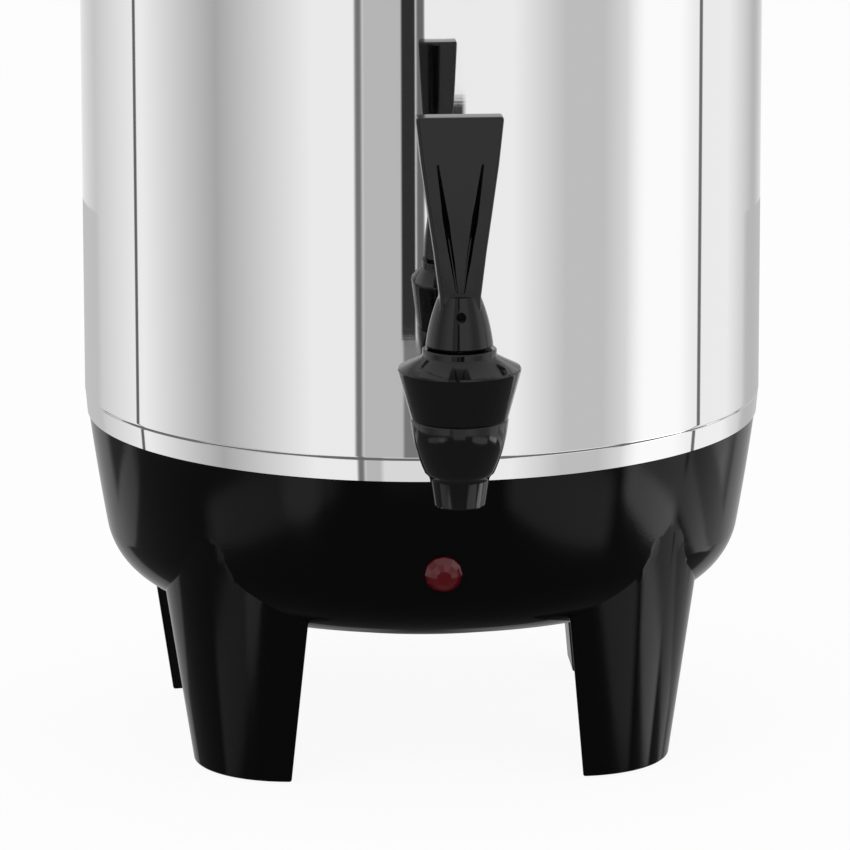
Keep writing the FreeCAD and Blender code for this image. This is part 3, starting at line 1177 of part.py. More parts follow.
# Lever: a round skirt with its waist, and a flat fan above it with two V grooves
def lever():
    fan = new_body("lever_fan")
    pad(fan, "fan", "XZ_Plane", [
        ("-lever_waist", "waist_z - 5"),
        ("lever_waist", "waist_z - 5"),
        ("lever_waist", "waist_z"),
        ("lever_waist * 1.28", "waist_z + 14.7"),
        ("lever_waist * 1.53", "waist_z + 26.1"),
        ("lever_half", "lever_top"),
        ("-lever_half", "lever_top"),
        ("-lever_waist * 1.53", "waist_z + 26.1"),
        ("-lever_waist * 1.28", "waist_z + 14.7"),
        ("-lever_waist", "waist_z"),
    ], "-3 * lever_thick", "6 * lever_thick")
    side = new_body("lever_side")
    pad(side, "side", "YZ_Plane", [
        ("-lever_waist_thick / 2", "waist_z - 5"),
        ("lever_waist_thick / 2", "waist_z - 5"),
        ("lever_waist_thick / 2", "waist_z"),
        ("lever_thick / 2", "lever_top"),
        ("-lever_thick / 2", "lever_top"),
        ("-lever_waist_thick / 2", "waist_z"),
    ], "-3 * lever_half", "6 * lever_half")
    plate = doc.addObject("Part::MultiCommon", "lever_plate")
    plate.Shapes = [fan, side]
    skirt = new_body("lever_skirt")
    revolve(skirt, "skirt_turn", [
        ("0", "skirt_bottom"),
        ("skirt_radius", "skirt_bottom"),
        ("skirt_radius * 0.86", "skirt_bottom + 6", "28", 1),
        ("lever_waist", "waist_z"),
        ("0", "waist_z"),
    ])
    room = new_body("lever_room")
    revolve(room, "room_turn", [
        ("0", "skirt_bottom - 1"),
        ("skirt_inside", "skirt_bottom - 1"),
        ("skirt_inside", "skirt_bottom"),
        ("skirt_room_end", "skirt_room_top"),
        ("0", "skirt_room_top"),
    ])
    tools = [room]
    for name, sign in (("left", "-1"), ("right", "1")):
        groove = new_body(f"groove_{name}")
        low = sketch_on(groove, f"groove_{name}_low", "XY_Plane", "groove_low")
        back = "-lever_waist_thick / 2 + groove_deep * 0.35"
        way = 1 if sign == "1" else -1
        draw(low, [(f"{sign} * 0.9", "-lever_waist_thick"), (f"{sign} * 2.1", "-lever_waist_thick"),
                   (f"{sign} * 1.5", back)][::way])
        high = sketch_on(groove, f"groove_{name}_high", "XY_Plane", "groove_high")
        draw(high, [(f"{sign} * groove_in", "-lever_waist_thick"),
                    (f"{sign} * (groove_out + 1)", "-lever_waist_thick"),
                    (f"{sign} * groove_out", "-lever_thick / 2 + groove_deep * 0.6")][::way])
        made = feature(groove, "AdditiveLoft", f"groove_{name}_loft", low, Ruled=True)
        made.Sections = [high]
        tools.append(groove)
    tools.append(cylinder("dimple", "dimple_radius", "1.4", y="-skirt_radius * 0.86 + 1.2", z="dimple_height",
                          turn=FORWARD))
    tools.append(cylinder("lever_pin_hole", "pivot_pin + braze_gap / 5", "4 * skirt_radius",
                          x="-2 * skirt_radius", z="pivot_height", turn=FreeCAD.Rotation(Y, 90)))
    return cut("tap_handle", fuse("lever_solid", [plate, skirt]), tools)


node(lever(), "tap_handle", y=TAP_Y)
node(cylinder("handle_pin", "pivot_pin", "1.72 * skirt_radius"), "handle_pin", x="-0.86 * skirt_radius",
     y=TAP_Y, z="pivot_height", turn=FreeCAD.Rotation(Y, 90))

# Check every object, then write each piece to its own file
doc.recompute()
for thing in doc.Objects:
    if "Invalid" in thing.State or "Error" in thing.State:
        raise RuntimeError(f"{thing.Name} ({thing.Label}) could not be built: {thing.State}")
os.makedirs("parts", exist_ok=True)
for piece in NODES:
    if piece.Shape.isNull() or not piece.Shape.isValid() or not piece.Shape.Solids:
        raise RuntimeError(f"{piece.Label} has no valid solid")
    piece.Shape.exportStep(f"parts/{piece.Label}.step")
    print(piece.Label, len(piece.Shape.Solids), round(piece.Shape.Volume))
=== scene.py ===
import json
import logging
import math
from dataclasses import dataclass, field
from enum import Enum
from typing import Callable, Iterable, Sequence

import bmesh
import bpy
from mathutils import Matrix, Vector


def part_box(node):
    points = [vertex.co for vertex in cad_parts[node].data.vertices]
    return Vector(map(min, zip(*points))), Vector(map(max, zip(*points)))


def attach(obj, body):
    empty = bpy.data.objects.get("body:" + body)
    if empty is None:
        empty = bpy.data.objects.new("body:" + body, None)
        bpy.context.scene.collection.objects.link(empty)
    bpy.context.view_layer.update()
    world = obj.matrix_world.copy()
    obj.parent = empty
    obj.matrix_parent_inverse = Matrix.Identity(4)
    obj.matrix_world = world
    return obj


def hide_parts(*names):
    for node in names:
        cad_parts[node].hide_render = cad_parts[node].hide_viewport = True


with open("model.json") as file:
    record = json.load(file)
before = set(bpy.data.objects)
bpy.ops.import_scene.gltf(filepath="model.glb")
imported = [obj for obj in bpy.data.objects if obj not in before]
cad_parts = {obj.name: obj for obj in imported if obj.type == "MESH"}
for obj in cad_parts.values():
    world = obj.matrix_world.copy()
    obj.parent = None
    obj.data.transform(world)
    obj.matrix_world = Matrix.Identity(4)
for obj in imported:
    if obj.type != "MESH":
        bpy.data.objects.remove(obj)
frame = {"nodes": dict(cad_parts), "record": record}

LOG = logging.getLogger("coffee_urn")
MM = 0.001
ROUND = 2 * math.pi
Point2 = tuple[float, float]


def node_centre(node: str) -> Vector:
    """The middle of a CAD node's box, in metres."""
    low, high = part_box(node)
    return (low + high) / 2


URN_AXIS = Vector((0.0, node_centre("urn_body").y, 0.0))
TAP_AXIS = Vector((0.0, node_centre("tap_bonnet").y, 0.0))


# Shader building blocks


class Nodes:
    """A short hand for adding and linking nodes in one node tree."""

    def __init__(self, tree: bpy.types.NodeTree) -> None:
        """Keeps the tree that nodes are added to.

        Args:
            tree: the material's or group's node tree.
        """
        self.tree = tree

    def add(self, kind: str, inputs: dict[str | int, object] | None = None, **settings: object) -> bpy.types.Node:
        """Adds a node, sets its properties, and fills or links its inputs.

        Args:
            kind: the node's Blender type.
            inputs: a value or an output socket for each named or numbered input.
            settings: properties of the node itself.

        Returns:
            The new node.
        """
        node = self.tree.nodes.new(kind)
        for name, value in settings.items():
            setattr(node, name, value)
        for name, value in (inputs or {}).items():
            if isinstance(value, bpy.types.NodeSocket):
                self.tree.links.new(value, node.inputs[name])
            else:
                node.inputs[name].default_value = value
        return node


def group_tree(name: str, inputs: dict[str, float], outputs: dict[str, str],
               build: Callable[[Nodes, bpy.types.Node, bpy.types.Node], None]) -> bpy.types.NodeTree:
    """Makes a shader group once and hands it back when it is asked for again.

    Args:
        name: the group's name.
        inputs: its number inputs with their defaults.
        outputs: its outputs with their socket types.
        build: fills the group between its input and output nodes.

    Returns:
        The group's node tree.
    """
    known = bpy.data.node_groups.get(name)
    if known:
        return known
    tree = bpy.data.node_groups.new(name, "ShaderNodeTree")
    for label, value in inputs.items():
        socket = tree.interface.new_socket(name=label, in_out="INPUT", socket_type="NodeSocketFloat")
        socket.default_value = value
    for label, kind in outputs.items():
        tree.interface.new_socket(name=label, in_out="OUTPUT", socket_type=kind)
    nodes = Nodes(tree)
    build(nodes, nodes.add("NodeGroupInput"), nodes.add("NodeGroupOutput"))
    return tree


def build_surface(nodes: Nodes, given: bpy.types.Node, out: bpy.types.Node) -> None:
    """Fine grain and slow waves for a moulded or pressed surface, and roughness that varies in patches.

    Args:
        nodes: the group's nodes.
        given: the group's input node.
        out: the group's output node.
    """
    place = nodes.add("ShaderNodeTexCoord").outputs["Object"]
    grain = nodes.add("ShaderNodeTexNoise", {"Vector": place, "Scale": given.outputs["Grain Scale"], "Detail": 3.0})
    wave = nodes.add("ShaderNodeTexNoise", {"Vector": place, "Scale": given.outputs["Wave Scale"], "Detail": 1.0})
    patch = nodes.add("ShaderNodeTexNoise", {"Vector": place, "Scale": 35.0, "Detail": 5.0, "Roughness": 0.65})
    spread = nodes.add("ShaderNodeMath", {0: patch.outputs[0], 1: 0.5}, operation="SUBTRACT")
    shift = nodes.add("ShaderNodeMath", {0: spread.outputs[0], 1: given.outputs["Patchiness"]}, operation="MULTIPLY")
    rough = nodes.add("ShaderNodeMath", {0: shift.outputs[0], 1: given.outputs["Roughness"]}, operation="ADD",
                      use_clamp=True)
    slow = nodes.add("ShaderNodeBump", {"Height": wave.outputs[0], "Strength": given.outputs["Wave Depth"],
                                        "Distance": 0.002})
    fine = nodes.add("ShaderNodeBump", {"Height": grain.outputs[0], "Strength": given.outputs["Grain Depth"],
                                        "Distance": 0.0002, "Normal": slow.outputs[0]})
    nodes.tree.links.new(rough.outputs[0], out.inputs["Roughness"])
    nodes.tree.links.new(fine.outputs[0], out.inputs["Normal"])


def surface_group() -> bpy.types.NodeTree:
    """The group for moulded and pressed surfaces."""
    return group_tree(
        "moulded_surface",
        {"Grain Scale": 900.0, "Grain Depth": 0.1, "Wave Scale": 20.0, "Wave Depth": 0.02, "Roughness": 0.3,
         "Patchiness": 0.1},
        {"Roughness": "NodeSocketFloat", "Normal": "NodeSocketVector"}, build_surface)


def build_polish(nodes: Nodes, given: bpy.types.Node, out: bpy.types.Node) -> None:
    """Polishing lines that run round a sheet, slow waves, and faint cloudy patches.

    Args:
        nodes: the group's nodes.
        given: the group's input node.
        out: the group's output node.
    """
    place = nodes.add("ShaderNodeTexCoord").outputs["Object"]
    flat = nodes.add("ShaderNodeMapping", {"Vector": place, "Scale": (3.0, 3.0, 900.0)})
    lines = nodes.add("ShaderNodeTexNoise", {"Vector": flat.outputs[0], "Scale": 1.0, "Detail": 4.0})
    tall = nodes.add("ShaderNodeMapping", {"Vector": place, "Scale": (22.0, 22.0, 2.0)})
    waves = nodes.add("ShaderNodeTexNoise", {"Vector": tall.outputs[0], "Scale": 1.0, "Detail": 1.0})
    cloud = nodes.add("ShaderNodeTexNoise", {"Vector": place, "Scale": 14.0, "Detail": 6.0, "Roughness": 0.6})
    centred = nodes.add("ShaderNodeMath", {0: cloud.outputs[0], 1: 0.5}, operation="SUBTRACT")
    shift = nodes.add("ShaderNodeMath", {0: centred.outputs[0], 1: given.outputs["Cloudiness"]}, operation="MULTIPLY")
    rough = nodes.add("ShaderNodeMath", {0: shift.outputs[0], 1: given.outputs["Roughness"]}, operation="ADD",
                      use_clamp=True)
    slow = nodes.add("ShaderNodeBump", {"Height": waves.outputs[0], "Strength": given.outputs["Wave Depth"],
                                        "Distance": 0.002})
    fine = nodes.add("ShaderNodeBump", {"Height": lines.outputs[0], "Strength": given.outputs["Line Depth"],
                                        "Distance": 0.0001, "Normal": slow.outputs[0]})
    nodes.tree.links.new(rough.outputs[0], out.inputs["Roughness"])
    nodes.tree.links.new(fine.outputs[0], out.inputs["Normal"])


def polish_group() -> bpy.types.NodeTree:
    """The group for polished and brushed sheet."""
    return group_tree(
        "polished_sheet",
        {"Line Depth": 0.1, "Wave Depth": 0.02, "Roughness": 0.1, "Cloudiness": 0.05},
        {"Roughness": "NodeSocketFloat", "Normal": "NodeSocketVector"}, build_polish)


Colour = tuple[float, float, float, float]
MADE: dict[str, bpy.types.Material] = {}


def grey(level: float) -> Colour:
    """An opaque grey of a level."""
    return (level, level, level, 1.0)


@dataclass(frozen=True)
class Finish:
    """A finish that makes one material, the first time it is asked for."""

    name: str
    colour: Colour

    def group_settings(self) -> tuple[bpy.types.NodeTree, dict[str, float]]:
        """The shader group behind the finish, and the values it gets."""
        raise NotImplementedError

    def shader_settings(self) -> dict[str, object]:
        """Values for the shader's own sockets."""
        return {}

    def material(self) -> bpy.types.Material:
        """Builds the material, or finds the one built before.

        Returns:
            The material.
        """
        if self.name in MADE:
            return MADE[self.name]
        made = MADE[self.name] = bpy.data.materials.new(self.name)
        made.use_nodes = True
        made.node_tree.nodes.clear()
        nodes = Nodes(made.node_tree)
        tree, values = self.group_settings()
        group = nodes.add("ShaderNodeGroup", node_tree=tree)
        for label, value in values.items():
            group.inputs[label].default_value = value
        links = {"Roughness": group.outputs["Roughness"], "Normal": group.outputs["Normal"]}
        shader = nodes.add("ShaderNodeBsdfPrincipled", {"Base Color": self.colour, **links, **self.shader_settings()})
        nodes.add("ShaderNodeOutputMaterial", {"Surface": shader.outputs[0]})
        made.diffuse_color = self.colour
        return made


@dataclass(frozen=True)
class Moulded(Finish):
    """Moulded plastic or rubber."""

    roughness: float = 0.3
    grain_scale: float = 900.0
    grain_depth: float = 0.1
    wave_depth: float = 0.02
    wave_scale: float = 20.0
    patchiness: float = 0.08
    specular: float = 0.5

    def group_settings(self) -> tuple[bpy.types.NodeTree, dict[str, float]]:
        """The moulded surface with this finish's grain."""
        return surface_group(), {
            "Grain Scale": self.grain_scale, "Grain Depth": self.grain_depth, "Wave Depth": self.wave_depth,
            "Wave Scale": self.wave_scale, "Roughness": self.roughness, "Patchiness": self.patchiness}

    def shader_settings(self) -> dict[str, object]:
        """How much the plastic shines."""
        return {"Specular IOR Level": self.specular}


@dataclass(frozen=True)
class Metal(Finish):
    """Polished, brushed or plain metal."""

    roughness: float = 0.2
    line_depth: float = 0.1
    wave_depth: float = 0.02
    cloudiness: float = 0.05

    def group_settings(self) -> tuple[bpy.types.NodeTree, dict[str, float]]:
        """The polished sheet with this finish's lines and waves."""
        return polish_group(), {
            "Line Depth": self.line_depth, "Wave Depth": self.wave_depth, "Roughness": self.roughness,
            "Cloudiness": self.cloudiness}

    def shader_settings(self) -> dict[str, object]:
        """Metal all over."""
        return {"Metallic": 1.0}


@dataclass(frozen=True)
class Jewel(Moulded):
    """Clear coloured glass or acrylic."""

    ior: float = 1.49
    transmission: float = 0.8

    def shader_settings(self) -> dict[str, object]:
        """Clear, with the colour in the body of the jewel."""
        return {"Transmission Weight": self.transmission, "IOR": self.ior, "Specular IOR Level": self.specular}


POLISHED_STEEL = Metal("mirror_steel", (0.90, 0.90, 0.91, 1.0), roughness=0.025, line_depth=0.01, wave_depth=0.03,
                       cloudiness=0.012)
PLAIN_STEEL = Metal("dull_steel", (0.62, 0.62, 0.63, 1.0), roughness=0.3, line_depth=0.25)
ALUMINIUM = Metal("satin_aluminium", (0.78, 0.78, 0.79, 1.0), roughness=0.34, line_depth=0.2)
BRASS = Metal("plain_brass", (0.78, 0.58, 0.28, 1.0), roughness=0.28)
SHEATH = Metal("dark_sheath", (0.33, 0.31, 0.29, 1.0), roughness=0.45)
BASE_BLACK = Moulded("base_black", (0.0013, 0.0013, 0.0016, 1.0), roughness=0.07, grain_scale=1400.0,
                     grain_depth=0.02, wave_depth=0.02, wave_scale=14.0, patchiness=0.05, specular=0.16)
TAP_BLACK = Moulded("tap_gloss", (0.0035, 0.0035, 0.004, 1.0), roughness=0.07, grain_scale=1500.0, grain_depth=0.02,
                    wave_depth=0.03, wave_scale=60.0, patchiness=0.06, specular=0.4)
GRIP_BLACK = Moulded("grip_black", (0.007, 0.007, 0.008, 1.0), roughness=0.24, grain_depth=0.06, specular=0.4)
RUBBER = Moulded("black_rubber", (0.016, 0.016, 0.016, 1.0), roughness=0.75, grain_scale=600.0, grain_depth=0.4)
SILICONE = Moulded("pale_silicone", (0.68, 0.66, 0.62, 1.0), roughness=0.5)
BROWN_SHELL = Moulded("brown_shell", (0.05, 0.025, 0.012, 1.0), roughness=0.35)
RUBY = Jewel("ruby_jewel", (0.15, 0.001, 0.005, 1.0), roughness=0.03, grain_depth=0.0, wave_depth=0.0,
             patchiness=0.0, specular=0.5, transmission=0.55)


# Mesh building blocks


def in_metres(x: float, y: float, z: float, about: Vector = Vector()) -> Vector:
    """A point given in millimetres from an axis, in metres in the row's frame."""
    return about + Vector((x, y, z)) * MM


def wire_loop(bm: bmesh.types.BMesh, points: Sequence[Vector], closed: bool = True) -> list[bmesh.types.BMEdge]:
    """Joins points with edges, in order.

    Args:
        bm: the mesh.
        points: the corners, in metres.
        closed: whether the last corner joins the first.

    Returns:
        The edges.
    """
    verts = [bm.verts.new(p) for p in points]
    pairs = list(zip(verts, verts[1:])) + ([(verts[-1], verts[0])] if closed else [])
    return [bm.edges.new(pair) for pair in pairs]


def turned(profile: Sequence[Point2], about: Vector, steps: int = 192, closed: bool = True) -> bmesh.types.BMesh:
    """Spins a profile of (radius, height) corners in millimetres about an upright axis.

    Args:
        profile: the corners; a closed profile makes a wall all round.
        about: a point on the axis.
        steps: how many sides the round has.
        closed: whether the profile closes on itself.

    Returns:
        A mesh with its normals outwards.
    """
    bm = bmesh.new()
    edges = wire_loop(bm, [in_metres(r, 0, z, about) for r, z in profile], closed)
    bmesh.ops.spin(bm, geom=edges + bm.verts[:], cent=about, axis=(0, 0, 1), angle=ROUND, steps=steps,
                   use_merge=True)
    bmesh.ops.remove_doubles(bm, verts=bm.verts[:], dist=1e-7)
    bmesh.ops.recalc_face_normals(bm, faces=bm.faces[:])
    return bm


def arc(start: Point2, end: Point2, radius: float, count: int) -> list[Point2]:
    """Corners along an arc that leaves start and stops short of end, bulging to the right of the way there.

    Args:
        start: where it starts, in millimetres.
        end: where it would end.
        radius: its radius.
        count: how many parts it has.

    Returns:
        The corners, start included and end left out.
    """
    a, b = Vector(start), Vector(end)
    chord = b - a
    side = Vector((-chord.y, chord.x)).normalized()
    centre = (a + b) / 2 + side * math.sqrt(max(radius**2 - chord.length_squared / 4, 0.0))
    first = math.atan2(*(a - centre).yx)
    last = math.atan2(*(b - centre).yx)
    turn = (last - first) % ROUND
    return [tuple(centre + Vector((math.cos(first + turn * i / count), math.sin(first + turn * i / count))) * radius)
            for i in range(count)]


def bridge(bm: bmesh.types.BMesh, loops: Sequence[Sequence[Vector]], capped: bool = True) -> None:
    """Skins a row of closed outlines that have the same number of corners.

    Args:
        bm: the mesh.
        loops: the outlines, in metres.
        capped: whether the first and last are filled.
    """
    rings = [wire_loop(bm, loop) for loop in loops]
    for low, high in zip(rings, rings[1:]):
        bmesh.ops.bridge_loops(bm, edges=low + high)
    if capped:
        for ring in (rings[0], rings[-1]):
            bmesh.ops.contextual_create(bm, geom=ring)
    bmesh.ops.recalc_face_normals(bm, faces=bm.faces[:])


def soften(bm: bmesh.types.BMesh, width: float, segments: int = 3, above: float = 25.0,
           only: Callable[[bmesh.types.BMEdge], bool] | None = None) -> None:
    """Rounds the edges that are sharper than an angle.

    Args:
        bm: the mesh.
        width: the rounding in millimetres.
        segments: how many faces it gets.
        above: the angle in degrees.
        only: a test that an edge has to pass as well.
    """
    limit = math.radians(above)
    edges = [e for e in bm.edges if len(e.link_faces) == 2 and e.calc_face_angle(0.0) > limit
             and (only is None or only(e))]
    bmesh.ops.bevel(bm, geom=edges, offset=width * MM, offset_type="OFFSET", affect="EDGES", segments=segments,
                    profile=0.5, material=-1, clamp_overlap=True)


def put(bm: bmesh.types.BMesh, name: str, smooth: float = 32.0) -> bpy.types.Object:
    """Makes an object of a mesh, smooth apart from its sharp edges.

    Args:
        bm: the mesh, which is freed.
        name: the piece's name.
        smooth: the angle in degrees from which an edge stays sharp.

    Returns:
        The object, linked to the scene.
    """
    mesh = bpy.data.meshes.new(name)
    bm.to_mesh(mesh)
    bm.free()
    obj = bpy.data.objects.new(name, mesh)
    bpy.context.scene.collection.objects.link(obj)
    mesh.shade_smooth()
    mesh.set_sharp_from_angle(angle=math.radians(smooth))
    return obj


def baked(obj: bpy.types.Object, smooth: float = 32.0) -> bpy.types.Object:
    """Applies an object's modifiers to its mesh.

    Args:
        obj: the object.
        smooth: the angle in degrees from which an edge stays sharp.

    Returns:
        The same object.
    """
    bpy.context.view_layer.update()
    graph = bpy.context.evaluated_depsgraph_get()
    mesh = bpy.data.meshes.new_from_object(obj.evaluated_get(graph))
    obj.modifiers.clear()
    obj.data = mesh
    mesh.shade_smooth()
    mesh.set_sharp_from_angle(angle=math.radians(smooth))
    return obj


class Join(Enum):
    """How two solids are put together."""

    ADD = "UNION"
    CUT = "DIFFERENCE"


def combine(obj: bpy.types.Object, tools: Iterable[bpy.types.Object], how: Join, smooth: float = 32.0
            ) -> bpy.types.Object:
    """Adds other solids to a solid, or cuts them out of it. The others are used up.

    Args:
        obj: the solid that stays.
        tools: the others.
        how: what is done.
        smooth: the angle in degrees from which an edge stays sharp.

    Returns:
        The solid.
    """
    for tool in tools:
        step = obj.modifiers.new(how.name, "BOOLEAN")
        step.operation = how.value
        step.solver = "EXACT"
        step.object = tool
        baked(obj, smooth)
        bpy.data.objects.remove(tool)
    return obj


def weigh_normals(obj: bpy.types.Object) -> bpy.types.Object:
    """Lets the large faces decide how a combined solid is shaded."""
    step = obj.modifiers.new("even_shading", "WEIGHTED_NORMAL")
    step.keep_sharp = True
    step.weight = 80
    return obj


def ease(obj: bpy.types.Object, width: float, segments: int = 2, above: float = 30.0) -> bpy.types.Object:
    """Rounds an object's sharp edges with a modifier that is applied at once.

    Args:
        obj: the object.
        width: the rounding in millimetres.
        segments: how many faces it gets.
        above: the angle in degrees from which an edge is rounded.

    Returns:
        The object.
    """
    step = obj.modifiers.new("eased_edges", "BEVEL")
    step.width = width * MM
    step.segments = segments
    step.limit_method = "ANGLE"
    step.angle_limit = math.radians(above)
    step.use_clamp_overlap = True
    return baked(obj, above + 5)


def dress(obj: bpy.types.Object, finish: Finish, body: str, slot: str, *stands_for: str) -> bpy.types.Object:
    """Gives a piece its finish and ties it to the frame.

    Args:
        obj: the piece.
        finish: its finish.
        body: the body that it rides on.
        slot: the record's slot of its finish; it is not used.
        stands_for: the nodes that it replaces.

    Returns:
        The piece.
    """
    obj.data.materials.clear()
    obj.data.materials.append(finish.material())
    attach(obj, body)
    if stands_for:
        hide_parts(*stands_for)
    LOG.info("%s: %d faces", obj.name, len(obj.data.polygons))
    return obj


# Steel body and lid


@dataclass
class SteelBody:
    """The steel cylinder with its stepped foot and rolled top. Sizes in millimetres."""

    radius: float = 117.5
    wall: float = 0.8
    rim: float = 113.5
    crease: float = 121.5
    step: float = 0.14
    step_high: float = 0.35
    tuck: float = 0.8
    top: float = 378.0
    roll: float = 2.2
    steps: int = 288

    def profile(self) -> list[Point2]:
        """The wall's section, from its foot up the outside and down the inside."""
        inside = self.radius - self.wall
        bead = self.top - self.roll
        foot = self.radius - self.tuck
        band = self.radius - self.step
        below = self.crease - self.step_high - 0.15
        slope = [(foot + (band - foot) * share, self.rim + (below - self.rim) * share) for share in (0.05, 0.5, 0.95)]
        turn = [*slope, (band, below), (band + 0.06, self.crease - self.step_high + 0.03),
                (self.radius - 0.06, self.crease - 0.1), (self.radius, self.crease + 0.1)]
        rolled = arc((self.radius, bead - self.roll * 0.87), (self.radius, self.top), self.roll, 10)
        return [(foot - self.wall, self.rim), (foot, self.rim), *turn, (self.radius, self.crease + 0.6), *rolled,
                (self.radius, self.top), (inside, self.top), (inside, self.crease + 0.4),
                (band - self.wall, self.crease - self.step_high + 0.4)]

    def build(self) -> bpy.types.Object:
        """Makes the wall.

        Returns:
            The wall.
        """
        wall = put(turned(self.profile(), URN_AXIS, self.steps), "steel_wall", 20.0)
        bpy.context.view_layer.update()
        return dress(wall, POLISHED_STEEL, "urn", "polished_steel", "urn_body")


@dataclass
class Lid:
    """The domed lid, its knob and the step between dome and rim. Sizes in millimetres."""

    seat: float = 378.2
    radius: float = 121.0
    sheet: float = 1.0
    skirt_radius: float = 115.7
    skirt: float = 10.0
    step: float = 5.0
    rise: float = 17.0
    dome_edge: float = 111.5
    hole: float = 2.8
    round_over: float = 0.5
    knob_radius: float = 19.0
    knob_neck: float = 9.0
    knob_high: float = 30.0

    def build(self) -> None:
        """Makes the lid and its knob."""
        top = self.seat + self.sheet + self.step
        dome = (self.dome_edge**2 + self.rise**2) / (2 * self.rise)
        crest, under_crest = (self.hole, top + self.rise), (self.hole, top + self.rise - self.sheet)
        outer = arc((self.dome_edge, top), crest, dome, 26)
        inner = arc((self.dome_edge - 1.8, top - self.sheet), under_crest, dome, 26)
        edge, flat = self.radius, self.seat + self.sheet
        outside, inside, foot = self.skirt_radius, self.skirt_radius - self.sheet, self.seat - self.skirt
        profile = [(inside, foot), (outside, foot), (outside, self.seat), (edge - self.round_over, self.seat),
                   (edge, self.seat + 0.3), (edge, self.seat + 0.7), (edge - self.round_over, flat),
                   (self.dome_edge + 3.6, flat), (self.dome_edge + 2.8, flat + 0.4),
                   (self.dome_edge + 0.8, top - 0.6), *outer, crest, under_crest, *reversed(inner), (inside, self.seat)]
        shell = put(turned(profile, URN_AXIS, 256), "lid_shell", 24.0)
        dress(shell, POLISHED_STEEL, "lid", "polished_steel", "lid")
        foot, high = top + self.rise, self.knob_high
        under = arc((self.knob_neck, foot + high * 0.38), (self.knob_radius, foot + high * 0.68), 16.0, 10)
        crown = arc((self.knob_radius, foot + high * 0.72), (1.0, foot + high), 34.0, 14)
        knob_profile = [(0.0, foot + 0.1), (self.knob_neck + 3, foot + 0.1), (self.knob_neck + 2.6, foot + 1.6),
                        (self.knob_neck + 0.6, foot + 3.0), *under, (self.knob_radius - 0.1, foot + high * 0.69),
                        *crown, (0.0, foot + high)]
        knob = put(turned(knob_profile, URN_AXIS, 96, closed=False), "lid_grip", 28.0)
        dress(knob, GRIP_BLACK, "lid", "black_gloss", "lid_knob")


# Moulded base


